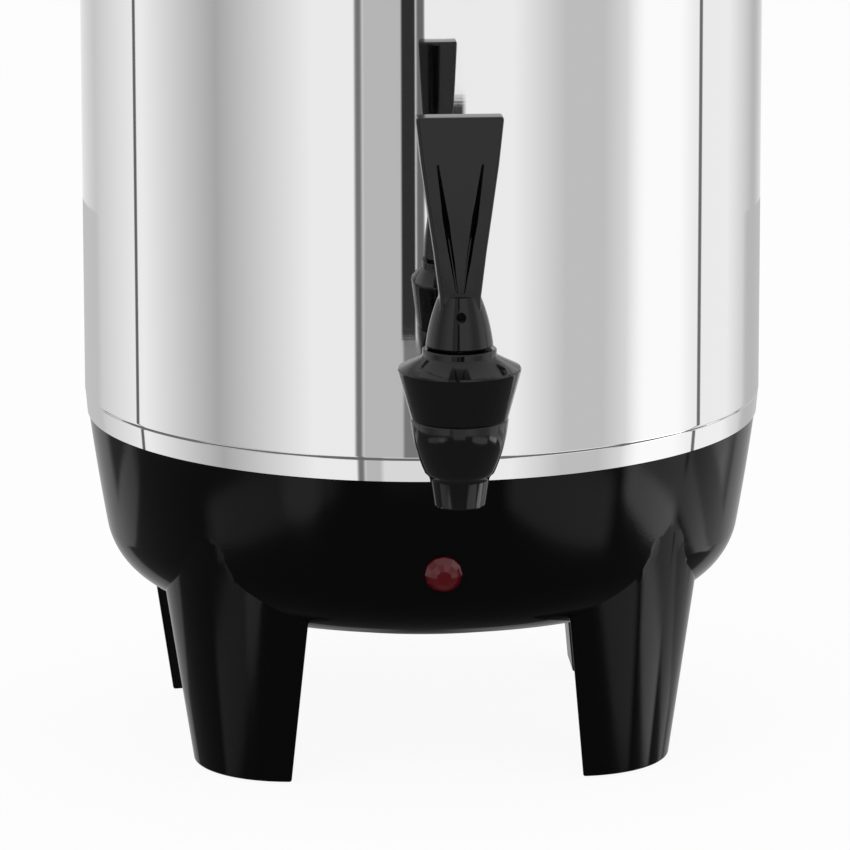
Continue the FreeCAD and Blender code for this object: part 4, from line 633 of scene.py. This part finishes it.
@dataclass
class MouldedBase:
    """The bowl, its four legs and the inlet's boss, as one moulding.

    Sizes are in millimetres. A leg's size is a pair: at its foot and at its top.
    """

    rim_radius: float = 116.2
    rim: float = 113.5
    lip_radius: float = 115.3
    lip: float = 5.0
    wall: float = 3.0
    bottom: float = 48.8
    opening_radius: float = 66.4
    cone_start: Point2 = (70.4, 49.0)
    turn_start: Point2 = (92.8, 55.1)
    turn_end: Point2 = (110.3, 74.6)
    turn_radius: float = 24.0
    side_bulge: float = 900.0
    leg_foot: float = 0.8
    leg_top: float = 92.0
    leg_nose: Point2 = (102.3, 113.0)
    leg_edge: Point2 = (93.2, 97.0)
    leg_half: Point2 = (22.8, 39.0)
    leg_back: Point2 = (80.0, 84.0)
    leg_back_half: Point2 = (6.5, 23.0)
    leg_turns: tuple[float, ...] = (39.0, 141.0, 225.0, 315.0)
    boss_face: float = 115.0
    inlet_height: float = 83.0
    boss_size: tuple[float, float, float] = (50.0, 9.0, 32.0)
    room_size: tuple[float, float, float] = (28.4, 34.0, 20.4)
    crisp: float = 9.0

    def bowl(self) -> bpy.types.Object:
        """The bowl as a hollow turned shell, open at the rim and at the bottom cover.

        Returns:
            The bowl.
        """
        corner = arc(self.turn_start, self.turn_end, self.turn_radius, 16)
        side = arc(self.turn_end, (self.rim_radius, self.rim - 0.4), self.side_bulge, 10)
        inside = [(self.rim_radius - 2 * self.wall, self.rim + self.lip), (self.rim_radius - 2 * self.wall, self.rim),
                  (107.3, 75.0), (106.2, 71.1), (102.6, 64.8), (97.0, 60.1), (92.0, 58.0), (75.1, self.bottom + 4.6),
                  (56.7, self.bottom + 4.6), (56.7, self.bottom + 1.6), (self.opening_radius, self.bottom + 1.6)]
        profile = [(self.opening_radius, self.bottom), (self.cone_start[0] - 1.5, self.bottom), self.cone_start,
                   *corner, *side, (self.rim_radius, self.rim - 0.4), (self.rim_radius - 0.4, self.rim),
                   (self.lip_radius, self.rim), (self.lip_radius, self.rim + self.lip), *inside]
        return put(turned(profile, URN_AXIS, 240), "moulded_base")

    def leg_outline(self, height: float) -> list[Vector]:
        """A leg's outline at a height, its middle line along X.

        Args:
            height: the height in millimetres.

        Returns:
            The corners, in metres, the round outer face first.
        """
        share = (height - self.leg_foot) / (self.leg_top - self.leg_foot)
        nose, edge, half, back, back_half = (
            foot + (top - foot) * share
            for foot, top in (self.leg_nose, self.leg_edge, self.leg_half, self.leg_back, self.leg_back_half))
        rise = nose - edge
        face = arc((edge, -half), (edge, half), (half**2 + rise**2) / (2 * rise), 28)
        flat = [*face, (edge, half), (back, back_half), (back, -back_half)]
        return [in_metres(x, y, height) for x, y in flat]

    def leg(self, turn: float) -> bpy.types.Object:
        """One leg, from its foot up into the bowl.

        Args:
            turn: its direction from +X, in degrees.

        Returns:
            The leg.
        """
        bm = bmesh.new()
        count = 12
        heights = [self.leg_foot + (self.leg_top - self.leg_foot) * i / count for i in range(count + 1)]
        bridge(bm, [self.leg_outline(h) for h in heights])
        soften(bm, 0.7, 3, 40.0, lambda e: max(v.co.z for v in e.verts) < (self.leg_top - 1) * MM)
        bmesh.ops.rotate(bm, verts=bm.verts[:], cent=(0, 0, 0), matrix=Matrix.Rotation(math.radians(turn), 3, "Z"))
        bmesh.ops.translate(bm, verts=bm.verts[:], vec=URN_AXIS)
        return put(bm, f"leg_{int(turn)}")

    def boss(self) -> bpy.types.Object:
        """The flat boss behind the power inlet."""
        bm = bmesh.new()
        bmesh.ops.create_cube(bm, size=MM)
        bmesh.ops.scale(bm, vec=self.boss_size, verts=bm.verts[:])
        middle = self.boss_face - self.boss_size[1] / 2
        bmesh.ops.translate(bm, verts=bm.verts[:], vec=in_metres(0, middle, self.inlet_height, URN_AXIS))
        soften(bm, 2.5, 4, 30.0)
        return put(bm, "inlet_boss")

    def socket_room(self) -> bpy.types.Object:
        """The room that the inlet's sleeve takes up."""
        bm = bmesh.new()
        bmesh.ops.create_cube(bm, size=MM)
        bmesh.ops.scale(bm, vec=self.room_size, verts=bm.verts[:])
        bmesh.ops.translate(bm, verts=bm.verts[:], vec=in_metres(0, self.boss_face - 12, self.inlet_height, URN_AXIS))
        return put(bm, "inlet_room")

    def build(self) -> None:
        """Makes the whole moulding."""
        base = self.bowl()
        combine(base, [self.leg(turn) for turn in self.leg_turns] + [self.boss()], Join.ADD, self.crisp)
        combine(base, [self.socket_room()], Join.CUT, self.crisp)
        weigh_normals(base)
        dress(base, BASE_BLACK, "urn", "black_satin", "base_housing")


@dataclass
class PilotLamp:
    """The faceted jewel under the tap. Sizes in millimetres."""

    radius: float = 6.4
    rise: float = 4.6
    facets: int = 12
    reach: float = 111.45
    height: float = 80.7
    tilt: float = 8.6

    def ring(self, share: float, height: float, turn: float) -> list[Vector]:
        """One ring of the jewel's corners.

        Args:
            share: its radius as a share of the jewel's.
            height: its height above the jewel's seat.
            turn: how many facets it is turned by.

        Returns:
            The corners, in metres.
        """
        angles = [ROUND * (i + turn) / self.facets for i in range(self.facets)]
        return [in_metres(self.radius * share * math.cos(a), self.radius * share * math.sin(a), height)
                for a in angles]

    def build(self) -> None:
        """Makes the jewel, with flat facets."""
        bm = bmesh.new()
        rings = ((0.96, 0.0, 0.0), (1.0, 0.5, 0.0), (0.98, 1.2, 0.0), (0.74, 3.2, 0.0), (0.40, self.rise, 0.0))
        bridge(bm, [self.ring(*r) for r in rings])
        bmesh.ops.rotate(bm, verts=bm.verts[:], cent=(0, 0, 0),
                         matrix=Matrix.Rotation(math.radians(90 + self.tilt), 3, "X"))
        bmesh.ops.translate(bm, verts=bm.verts[:], vec=in_metres(0, -self.reach, self.height, URN_AXIS))
        lens = put(bm, "ruby_jewel", 5.0)
        dress(lens, RUBY, "urn", "red_jewel", "pilot_lens")


# Tap


def lying_cylinder(name: str, radius: float, start: float, end: float, height: float, steps: int = 64
                   ) -> bpy.types.Object:
    """A cylinder along Y behind the tap's axis.

    Args:
        name: its name.
        radius: its radius in millimetres.
        start: its near end, from the tap's axis.
        end: its far end.
        height: the height of its axis.
        steps: how many sides it has.

    Returns:
        The cylinder.
    """
    bm = bmesh.new()
    turn = Matrix.Rotation(math.radians(90), 4, "X")
    place = Matrix.Translation(in_metres(0, (start + end) / 2, height, TAP_AXIS)) @ turn
    bmesh.ops.create_cone(bm, cap_ends=True, segments=steps, radius1=radius * MM, radius2=radius * MM,
                          depth=(end - start) * MM, matrix=place)
    return put(bm, name)


@dataclass
class Tap:
    """Spout, bonnet and lever. Sizes in millimetres, heights above the floor."""

    shank: float = 143.0
    seam: float = 151.9
    spout: float = 15.7
    spout_bulge: float = 52.0
    mouth: float = 123.4
    bore: float = 6.4
    chamber: float = 11.0
    valve_seat: float = 134.0
    neck: float = 8.4
    shank_radius: float = 7.8
    shoulder: float = 12.5
    reach: float = 72.0
    skirt: float = 175.5
    waist: float = 192.2
    top: float = 250.0
    lip: float = 174.8

    def spout_shell(self) -> bpy.types.Object:
        """The spout's bowl with its nozzle and valve seat."""
        side = arc((11.2, 134.2), (self.spout, self.seam - 0.5), self.spout_bulge, 14)
        tongue = 13.4
        profile = [(self.bore, self.mouth), (8.0, self.mouth), (8.35, self.mouth + 0.4), (9.55, 131.9), (9.8, 132.7),
                   (10.4, 133.5), *side, (self.spout, self.seam - 0.5), (self.spout - 0.5, self.seam),
                   (tongue, self.seam), (tongue, self.seam + 6), (self.chamber, self.seam + 6),
                   (self.chamber, self.valve_seat + 3), (5.0, self.valve_seat + 3), (5.0, self.valve_seat),
                   (self.bore, self.valve_seat)]
        return put(turned(profile, TAP_AXIS, 128), "spout", 30.0)

    def build_spout(self) -> None:
        """Makes the spout with its neck, shank and shoulder."""
        spout = self.spout_shell()
        neck = [lying_cylinder("neck", self.neck, 10.8, 24.0, self.shank),
                lying_cylinder("shank", self.shank_radius, 20.0, self.reach + 12.0, self.shank),
                lying_cylinder("shoulder", self.shoulder, self.reach - 5.6, self.reach - 2.6, self.shank)]
        combine(spout, neck, Join.ADD, 30.0)
        weigh_normals(spout)
        dress(spout, TAP_BLACK, "urn", "tap_black", "spout_body")

    def build_bonnet(self) -> None:
        """Makes the bonnet that is screwed over the spout."""
        profile = [(13.45, self.seam), (self.spout - 0.5, self.seam), (self.spout - 0.1, self.seam + 0.35),
                   (19.6, 167.0), (19.8, 167.9), (19.5, 168.5), (12.4, 172.1), (11.9, 172.7), (11.9, 174.4),
                   (11.5, self.lip), (3.1, self.lip), (3.1, 167.0), (8.6, 167.0), (8.6, 158.2), (13.45, 158.2)]
        bonnet = put(turned(profile, TAP_AXIS, 128), "bonnet", 24.0)
        dress(bonnet, TAP_BLACK, "urn", "tap_black", "tap_bonnet")

    def fan(self) -> bpy.types.Object:
        """The flat fan of the lever, widening upwards."""
        rows = ((self.waist - 5.0, 6.6, 5.6), (self.waist, 6.6, 5.4), (206.9, 8.45, 5.0), (218.3, 10.1, 4.75),
                (235.0, 12.45, 4.4), (self.top, 14.1, 4.0))
        bm = bmesh.new()
        loops = [[in_metres(x, y, z, TAP_AXIS) for x, y in ((-w, -d), (w, -d), (w, d), (-w, d))] for z, w, d in rows]
        bridge(bm, loops)
        soften(bm, 1.1, 3, 30.0)
        return put(bm, "lever_fan")

    def skirt_shell(self) -> bpy.types.Object:
        """The round skirt under the lever's waist, hollow at its foot."""
        side = arc((10.8, self.skirt + 0.6), (6.6, self.waist), 60.0, 10)
        profile = [(0.0, 188.0), (5.3, 188.0), (8.0, self.skirt), (10.4, self.skirt), *side, (6.6, self.waist),
                   (0.0, self.waist + 1.0)]
        return put(turned(profile, TAP_AXIS, 96, closed=False), "lever")

    def groove(self, side: int) -> bpy.types.Object:
        """One V groove, which starts in the middle above the waist and leans outwards.

        Args:
            side: -1 for the left one, 1 for the right one.

        Returns:
            The wedge that is cut out.
        """
        rows = ((self.waist + 1.5, 0.3, 1.9, 1.05, -3.9), (self.waist + 12.0, 1.2, 4.2, 2.6, -1.6),
                (self.top - 34.0, 2.4, 6.6, 4.4, -1.4), (self.top - 15.0, 5.0, 9.0, 7.2, -3.7))
        loops = [[in_metres(side * a, -9, z, TAP_AXIS), in_metres(side * b, -9, z, TAP_AXIS),
                  in_metres(side * (c + 0.15), deep, z, TAP_AXIS), in_metres(side * (c - 0.15), deep, z, TAP_AXIS)]
                 for z, a, b, c, deep in rows]
        bm = bmesh.new()
        bridge(bm, loops)
        return put(bm, f"groove_{side}")

    def dimple(self) -> bpy.types.Object:
        """The small dimple in the skirt's front."""
        return lying_cylinder("dimple", 1.6, -12.0, -8.0, 186.3, 24)

    def build_lever(self) -> None:
        """Makes the lever from its fan and skirt, and cuts its grooves."""
        lever = self.skirt_shell()
        combine(lever, [self.fan()], Join.ADD)
        combine(lever, [self.groove(-1), self.groove(1), self.dimple()], Join.CUT)
        ease(lever, 0.35, 2, 32.0)
        weigh_normals(lever)
        dress(lever, TAP_BLACK, "lever", "tap_black", "tap_handle")

    def build(self) -> None:
        """Makes the whole tap."""
        self.build_spout()
        self.build_bonnet()
        self.build_lever()


@dataclass
class SideHandle:
    """A carrying handle: a bar on two arms. Sizes in millimetres."""

    body_radius: float = 117.5
    reach: float = 153.5
    grip: float = 13.0
    half: float = 47.0
    high: float = 20.0
    height: float = 336.0

    def build(self, side: int, node: str) -> None:
        """Makes one handle.

        Args:
            side: 1 for the right one, -1 for the left one.
            node: the node that it stands for.
        """
        start = self.body_radius + 0.1
        end_x = math.sqrt(start**2 - self.half**2)
        foot = self.half - self.grip
        foot_x = math.sqrt(start**2 - foot**2)
        inner = self.reach - self.grip
        flat = [(end_x, self.half), (self.reach - 8, self.half * 0.93), (self.reach - 2.4, self.half * 0.8),
                (self.reach, self.half * 0.6), (self.reach, -self.half * 0.6), (self.reach - 2.4, -self.half * 0.8),
                (self.reach - 8, -self.half * 0.93), (end_x, -self.half), (foot_x, -foot),
                (inner - 2, -foot * 0.93), (inner, -foot * 0.8), (inner, foot * 0.8), (inner - 2, foot * 0.93),
                (foot_x, foot)]
        low, high = self.height - self.high / 2, self.height + self.high / 2
        bm = bmesh.new()
        bridge(bm, [[in_metres(side * x, side * y, z, URN_AXIS) for x, y in flat] for z in (low, high)])
        on_wall = (foot_x + 2.0) * MM
        soften(bm, 4.0, 5, 30.0, lambda e: any(abs(v.co.x) > on_wall for v in e.verts)
               and abs(e.verts[0].co.z - e.verts[1].co.z) < 1e-6)
        handle = put(bm, f"grip_{node}", 40.0)
        weigh_normals(handle)
        dress(handle, GRIP_BLACK, "urn", "black_gloss", node)


# Nodes that stay as they are


@dataclass
class PlainPieces:
    """The nodes whose shape is right and that only get a finish."""

    finishes: dict[str, Finish] = field(default_factory=lambda: {
        "plain_steel": PLAIN_STEEL, "aluminium_sheet": ALUMINIUM, "brass": BRASS, "heater_sheath": SHEATH,
        "rubber": RUBBER, "silicone": SILICONE, "thermostat_shell": BROWN_SHELL,
        "black_satin": BASE_BLACK, "black_gloss": GRIP_BLACK, "tap_black": TAP_BLACK,
        "polished_steel": POLISHED_STEEL, "red_jewel": RUBY})

    def build(self) -> None:
        """Dresses each node by its slot in the record."""
        for part in frame["record"]["subparts"]:
            node = frame["nodes"][part["node"]]
            material = self.finishes[part["material_slot"]].material()
            node.data.materials.clear()
            node.data.materials.append(material)


# Studio


# The lower edge that most cards share, in metres: it rises from the camera's side round to the back.
SKIRT = -1.03
SKIRT_LIFT = 0.73
SKIRT_POWER = 2.5
BEHIND = 178.0


@dataclass(frozen=True)
class Card:
    """An upright card round the urn that only reflections see.

    Angles are from the camera's direction and heights from the floor, in degrees and metres. Near is how far the
    card stands in front of the outer ring, so that it covers the cards behind it, fade the angle over which its ends
    grow clear, and sag how much the ends of its lower edge are lifted.
    """

    name: str
    start: float
    end: float
    light: float
    fade: float = 0.5
    low: float = SKIRT
    high: float = 2.6
    near: float = 0.0
    sag: float = 0.0

    def cover(self, angle: float) -> float:
        """How much of the card is there at an angle: it fades out at both ends."""
        return min(1.0, max(0.0, min(angle - self.start, self.end - angle) / self.fade))


CARDS = (
    Card("round", -178.0, 178.0, 0.91),
    Card("left_far", -176.0, -108.0, 0.60, 34.0, near=0.04),
    Card("left_line", -111.4, -109.2, 0.12, 0.4, near=0.08),
    Card("left_grey", -106.0, -36.0, 0.40, 36.0, near=0.08),
    Card("inner_grey", -20.0, -4.0, 0.51, 0.8, near=0.12),
    Card("seam_grey", -22.0, -18.8, 0.18, 0.9, near=0.16),
    Card("dark_gap", -6.8, -1.6, 0.03, 0.4, -0.31, near=0.20),
    Card("grey_gap", -1.9, 1.2, 0.14, 0.5, -0.30, near=0.24),
    Card("front_low", -6.4, 1.0, 0.20, 0.5, -0.70, -0.293, near=0.28),
    Card("front_dark", 1.4, 14.5, 0.02, 0.8, -0.70, -0.13, near=0.28),
    Card("band_front", -14.0, 15.0, 0.75, 1.5, -1.0, -0.705, near=0.30),
    Card("right_grey", 30.0, 80.0, 0.56, 18.0, near=0.08),
    Card("right_bright", 71.0, 103.0, 1.06, 8.0, near=0.12),
    Card("right_line", 104.6, 107.0, 0.15, 0.5, near=0.16),
    Card("right_far", 124.0, 176.0, 0.50, 24.0, near=0.12),
    Card("low_left", -86.0, -26.0, 0.70, 6.0, -1.20, -1.02, near=0.10, sag=0.08),
    Card("low_left_light", -52.0, -34.0, 1.25, 4.0, -1.18, -1.03, near=0.14, sag=0.06),
    Card("low_right", 28.0, 74.0, 1.0, 5.0, -1.24, -1.0, near=0.10, sag=0.08),
    Card("low_right_bright", 74.0, 106.0, 2.4, 4.0, -1.07, -0.94, near=0.10, sag=0.04),
    Card("leg_right", 80.0, 140.0, 0.95, 8.0, -0.945, -0.6, near=0.09),
    Card("low_far_left", -150.0, -116.0, 0.60, 6.0, -0.85, -0.72, near=0.10, sag=0.06),
    Card("low_far_right", 104.0, 150.0, 0.50, 6.0, -0.86, -0.74, near=0.10, sag=0.06),
    Card("back_left", -178.5, -138.0, 0.55, 5.0, -3.2, -0.28, near=0.06),
    Card("back_right", 138.0, 178.5, 0.55, 5.0, -3.2, -0.28, near=0.06),
)


@dataclass(frozen=True)
class Lamp:
    """A soft square lamp that points at the urn: its place and side in metres, and its power in watts."""

    name: str
    place: tuple[float, float, float]
    size: float
    power: float


LAMPS = (
    Lamp("key_lamp", (-1.2, -1.4, 1.9), 1.0, 16.0),
    Lamp("fill_lamp", (1.5, -1.1, 1.5), 1.2, 9.0),
    Lamp("top_lamp", (0.2, 0.5, 2.2), 1.2, 9.0),
)


@dataclass
class Studio:
    """Floor, cards, lamps, world and camera. Sizes in metres, angles in degrees, levels from 0 to 1."""

    camera_azimuth: float = -3.65
    camera_distance: float = 2.2
    camera_height: float = 0.612
    camera_pitch: float = -12.197
    camera_turn: float = -0.03
    camera_roll: float = -0.1
    lens: float = 273.2
    shift: float = -0.1
    card_distance: float = 2.5
    floor_size: float = 12.0
    floor_grey: float = 0.82
    floor_glow: float = 0.93
    fill: float = 0.62
    shine_below: float = 0.15
    shine_above: float = 0.75
    aim_height: float = 0.15

    def emission(self, name: str, level: float) -> bpy.types.Material:
        """A plain glowing grey that is clear where nothing of the card is left.

        Args:
            name: the material's name.
            level: its brightness.

        Returns:
            The material.
        """
        made = bpy.data.materials.new(name)
        made.use_nodes = True
        made.node_tree.nodes.clear()
        nodes = Nodes(made.node_tree)
        glow = nodes.add("ShaderNodeEmission", {"Color": grey(level), "Strength": 1.0})
        clear = nodes.add("ShaderNodeBsdfTransparent")
        cover = nodes.add("ShaderNodeAttribute", attribute_name="cover")
        faded = nodes.add("ShaderNodeMixShader", {0: cover.outputs["Fac"], 1: clear.outputs[0], 2: glow.outputs[0]})
        nodes.add("ShaderNodeOutputMaterial", {"Surface": faded.outputs[0]})
        return made

    def card(self, card: Card) -> None:
        """Sets up one card.

        Args:
            card: its place and brightness.
        """
        towards = math.radians(self.camera_azimuth - 90.0)
        steps = max(8, int((card.end - card.start) / 1.5))
        bm = bmesh.new()
        first = towards + math.radians(card.start)
        place = URN_AXIS + Vector((math.cos(first), math.sin(first), 0)) * (self.card_distance - card.near)
        edge = wire_loop(bm, [place + Vector((0, 0, card.low)), place + Vector((0, 0, card.high))], closed=False)
        bmesh.ops.spin(bm, geom=edge + bm.verts[:], cent=URN_AXIS, axis=(0, 0, 1),
                       angle=math.radians(card.end - card.start), steps=steps)
        obj = put(bm, f"card_{card.name}")
        cover = obj.data.attributes.new("cover", "FLOAT", "POINT")
        middle = towards + math.radians(card.start + card.end) / 2
        for vert, value in zip(obj.data.vertices, cover.data):
            away = vert.co - URN_AXIS
            turn = math.degrees((math.atan2(away.y, away.x) - middle + math.pi) % ROUND - math.pi)
            value.value = card.cover((card.start + card.end) / 2 + turn)
            if vert.co.z < card.low + 0.001:
                vert.co.z += card.sag * (2 * turn / (card.end - card.start))**2
                if card.low == SKIRT:
                    vert.co.z += SKIRT_LIFT * abs(((card.start + card.end) / 2 + turn) / BEHIND)**SKIRT_POWER
        obj.data.materials.append(self.emission(f"card_{card.name}", card.light))
        obj.visible_camera = False
        obj.visible_diffuse = False
        obj.visible_shadow = False
        obj.visible_transmission = False

    def floor(self) -> None:
        """Lays the pale floor."""
        bm = bmesh.new()
        bmesh.ops.create_grid(bm, x_segments=1, y_segments=1, size=self.floor_size)
        floor = put(bm, "floor")
        made = bpy.data.materials.new("pale_floor")
        made.use_nodes = True
        made.node_tree.nodes.clear()
        nodes = Nodes(made.node_tree)
        seen = nodes.add("ShaderNodeLightPath").outputs["Is Camera Ray"]
        matt = nodes.add("ShaderNodeBsdfDiffuse", {"Color": grey(self.floor_grey)})
        glow = nodes.add("ShaderNodeEmission", {"Color": grey(1.0), "Strength": 1.0})
        part = nodes.add("ShaderNodeMath", {0: seen, 1: self.floor_glow}, operation="MULTIPLY")
        mixed = nodes.add("ShaderNodeMixShader", {0: part.outputs[0], 1: matt.outputs[0], 2: glow.outputs[0]})
        nodes.add("ShaderNodeOutputMaterial", {"Surface": mixed.outputs[0]})
        floor.data.materials.append(made)
        floor.visible_glossy = False

    def world(self) -> None:
        """Fills the studio with plain light; reflections see it bright above and dark below."""
        world = bpy.data.worlds.new("studio")
        bpy.context.scene.world = world
        world.use_nodes = True
        world.node_tree.nodes.clear()
        nodes = Nodes(world.node_tree)
        path = nodes.add("ShaderNodeLightPath")
        way = nodes.add("ShaderNodeTexCoord").outputs["Generated"]
        up = nodes.add("ShaderNodeSeparateXYZ", {0: way}).outputs["Z"]
        share = nodes.add("ShaderNodeMapRange", {"Value": up, "From Min": -0.2, "From Max": 0.5})
        shine = nodes.add("ShaderNodeMix", {"Factor": share.outputs[0]}, data_type="RGBA")
        shine.inputs[6].default_value = grey(self.shine_below)
        shine.inputs[7].default_value = grey(self.shine_above)
        fill = nodes.add("ShaderNodeBackground", {"Color": grey(1.0), "Strength": self.fill})
        glossy = nodes.add("ShaderNodeBackground", {"Color": shine.outputs[2], "Strength": 1.0})
        white = nodes.add("ShaderNodeBackground", {"Color": grey(1.0), "Strength": 1.0})
        one = nodes.add("ShaderNodeMixShader", {0: path.outputs["Is Glossy Ray"], 1: fill.outputs[0],
                                                2: glossy.outputs[0]})
        seen = nodes.add("ShaderNodeMath", {0: path.outputs["Is Camera Ray"], 1: path.outputs["Is Transmission Ray"]},
                         operation="MAXIMUM")
        two = nodes.add("ShaderNodeMixShader", {0: seen.outputs[0], 1: one.outputs[0], 2: white.outputs[0]})
        nodes.add("ShaderNodeOutputWorld", {"Surface": two.outputs[0]})

    def lamp(self, lamp: Lamp) -> None:
        """Hangs one lamp.

        Args:
            lamp: its place, size and power.
        """
        light = bpy.data.lights.new(lamp.name, "AREA")
        light.shape = "SQUARE"
        light.size = lamp.size
        light.energy = lamp.power
        obj = bpy.data.objects.new(lamp.name, light)
        bpy.context.scene.collection.objects.link(obj)
        obj.location = lamp.place
        aim = URN_AXIS + Vector((0, 0, self.aim_height)) - Vector(lamp.place)
        obj.rotation_euler = aim.to_track_quat("-Z", "Y").to_euler()
        obj.visible_glossy = False

    def camera(self) -> None:
        """Sets the camera where the photograph was taken from."""
        data = bpy.data.cameras.new("view")
        data.lens = self.lens
        data.sensor_width = 36.0
        data.shift_y = self.shift
        data.clip_start, data.clip_end = 0.05, 60.0
        camera = bpy.data.objects.new("view", data)
        bpy.context.scene.collection.objects.link(camera)
        angle = math.radians(self.camera_azimuth)
        out = Vector((math.sin(angle), -math.cos(angle), 0)) * self.camera_distance
        camera.location = URN_AXIS + out + Vector((0, 0, self.camera_height))
        look = (Matrix.Rotation(angle + math.radians(self.camera_turn), 4, "Z")
                @ Matrix.Rotation(math.radians(90 + self.camera_pitch), 4, "X")
                @ Matrix.Rotation(math.radians(self.camera_roll), 4, "Z"))
        camera.rotation_euler = look.to_euler()
        bpy.context.scene.camera = camera

    def build(self) -> None:
        """Sets up everything round the urn."""
        self.camera()
        self.floor()
        self.world()
        for card in CARDS:
            self.card(card)
        for lamp in LAMPS:
            self.lamp(lamp)
        bpy.context.scene.view_settings.view_transform = "Standard"


def main() -> None:
    """Builds the urn and its studio."""
    logging.basicConfig(level=logging.INFO, format="%(name)s %(message)s")
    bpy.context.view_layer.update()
    PlainPieces().build()
    SteelBody().build()
    Lid().build()
    MouldedBase().build()
    PilotLamp().build()
    Tap().build()
    for side, node in ((1, "side_handle_right"), (-1, "side_handle_left")):
        SideHandle().build(side, node)
    Studio().build()


if __name__ == "__main__":
    main()
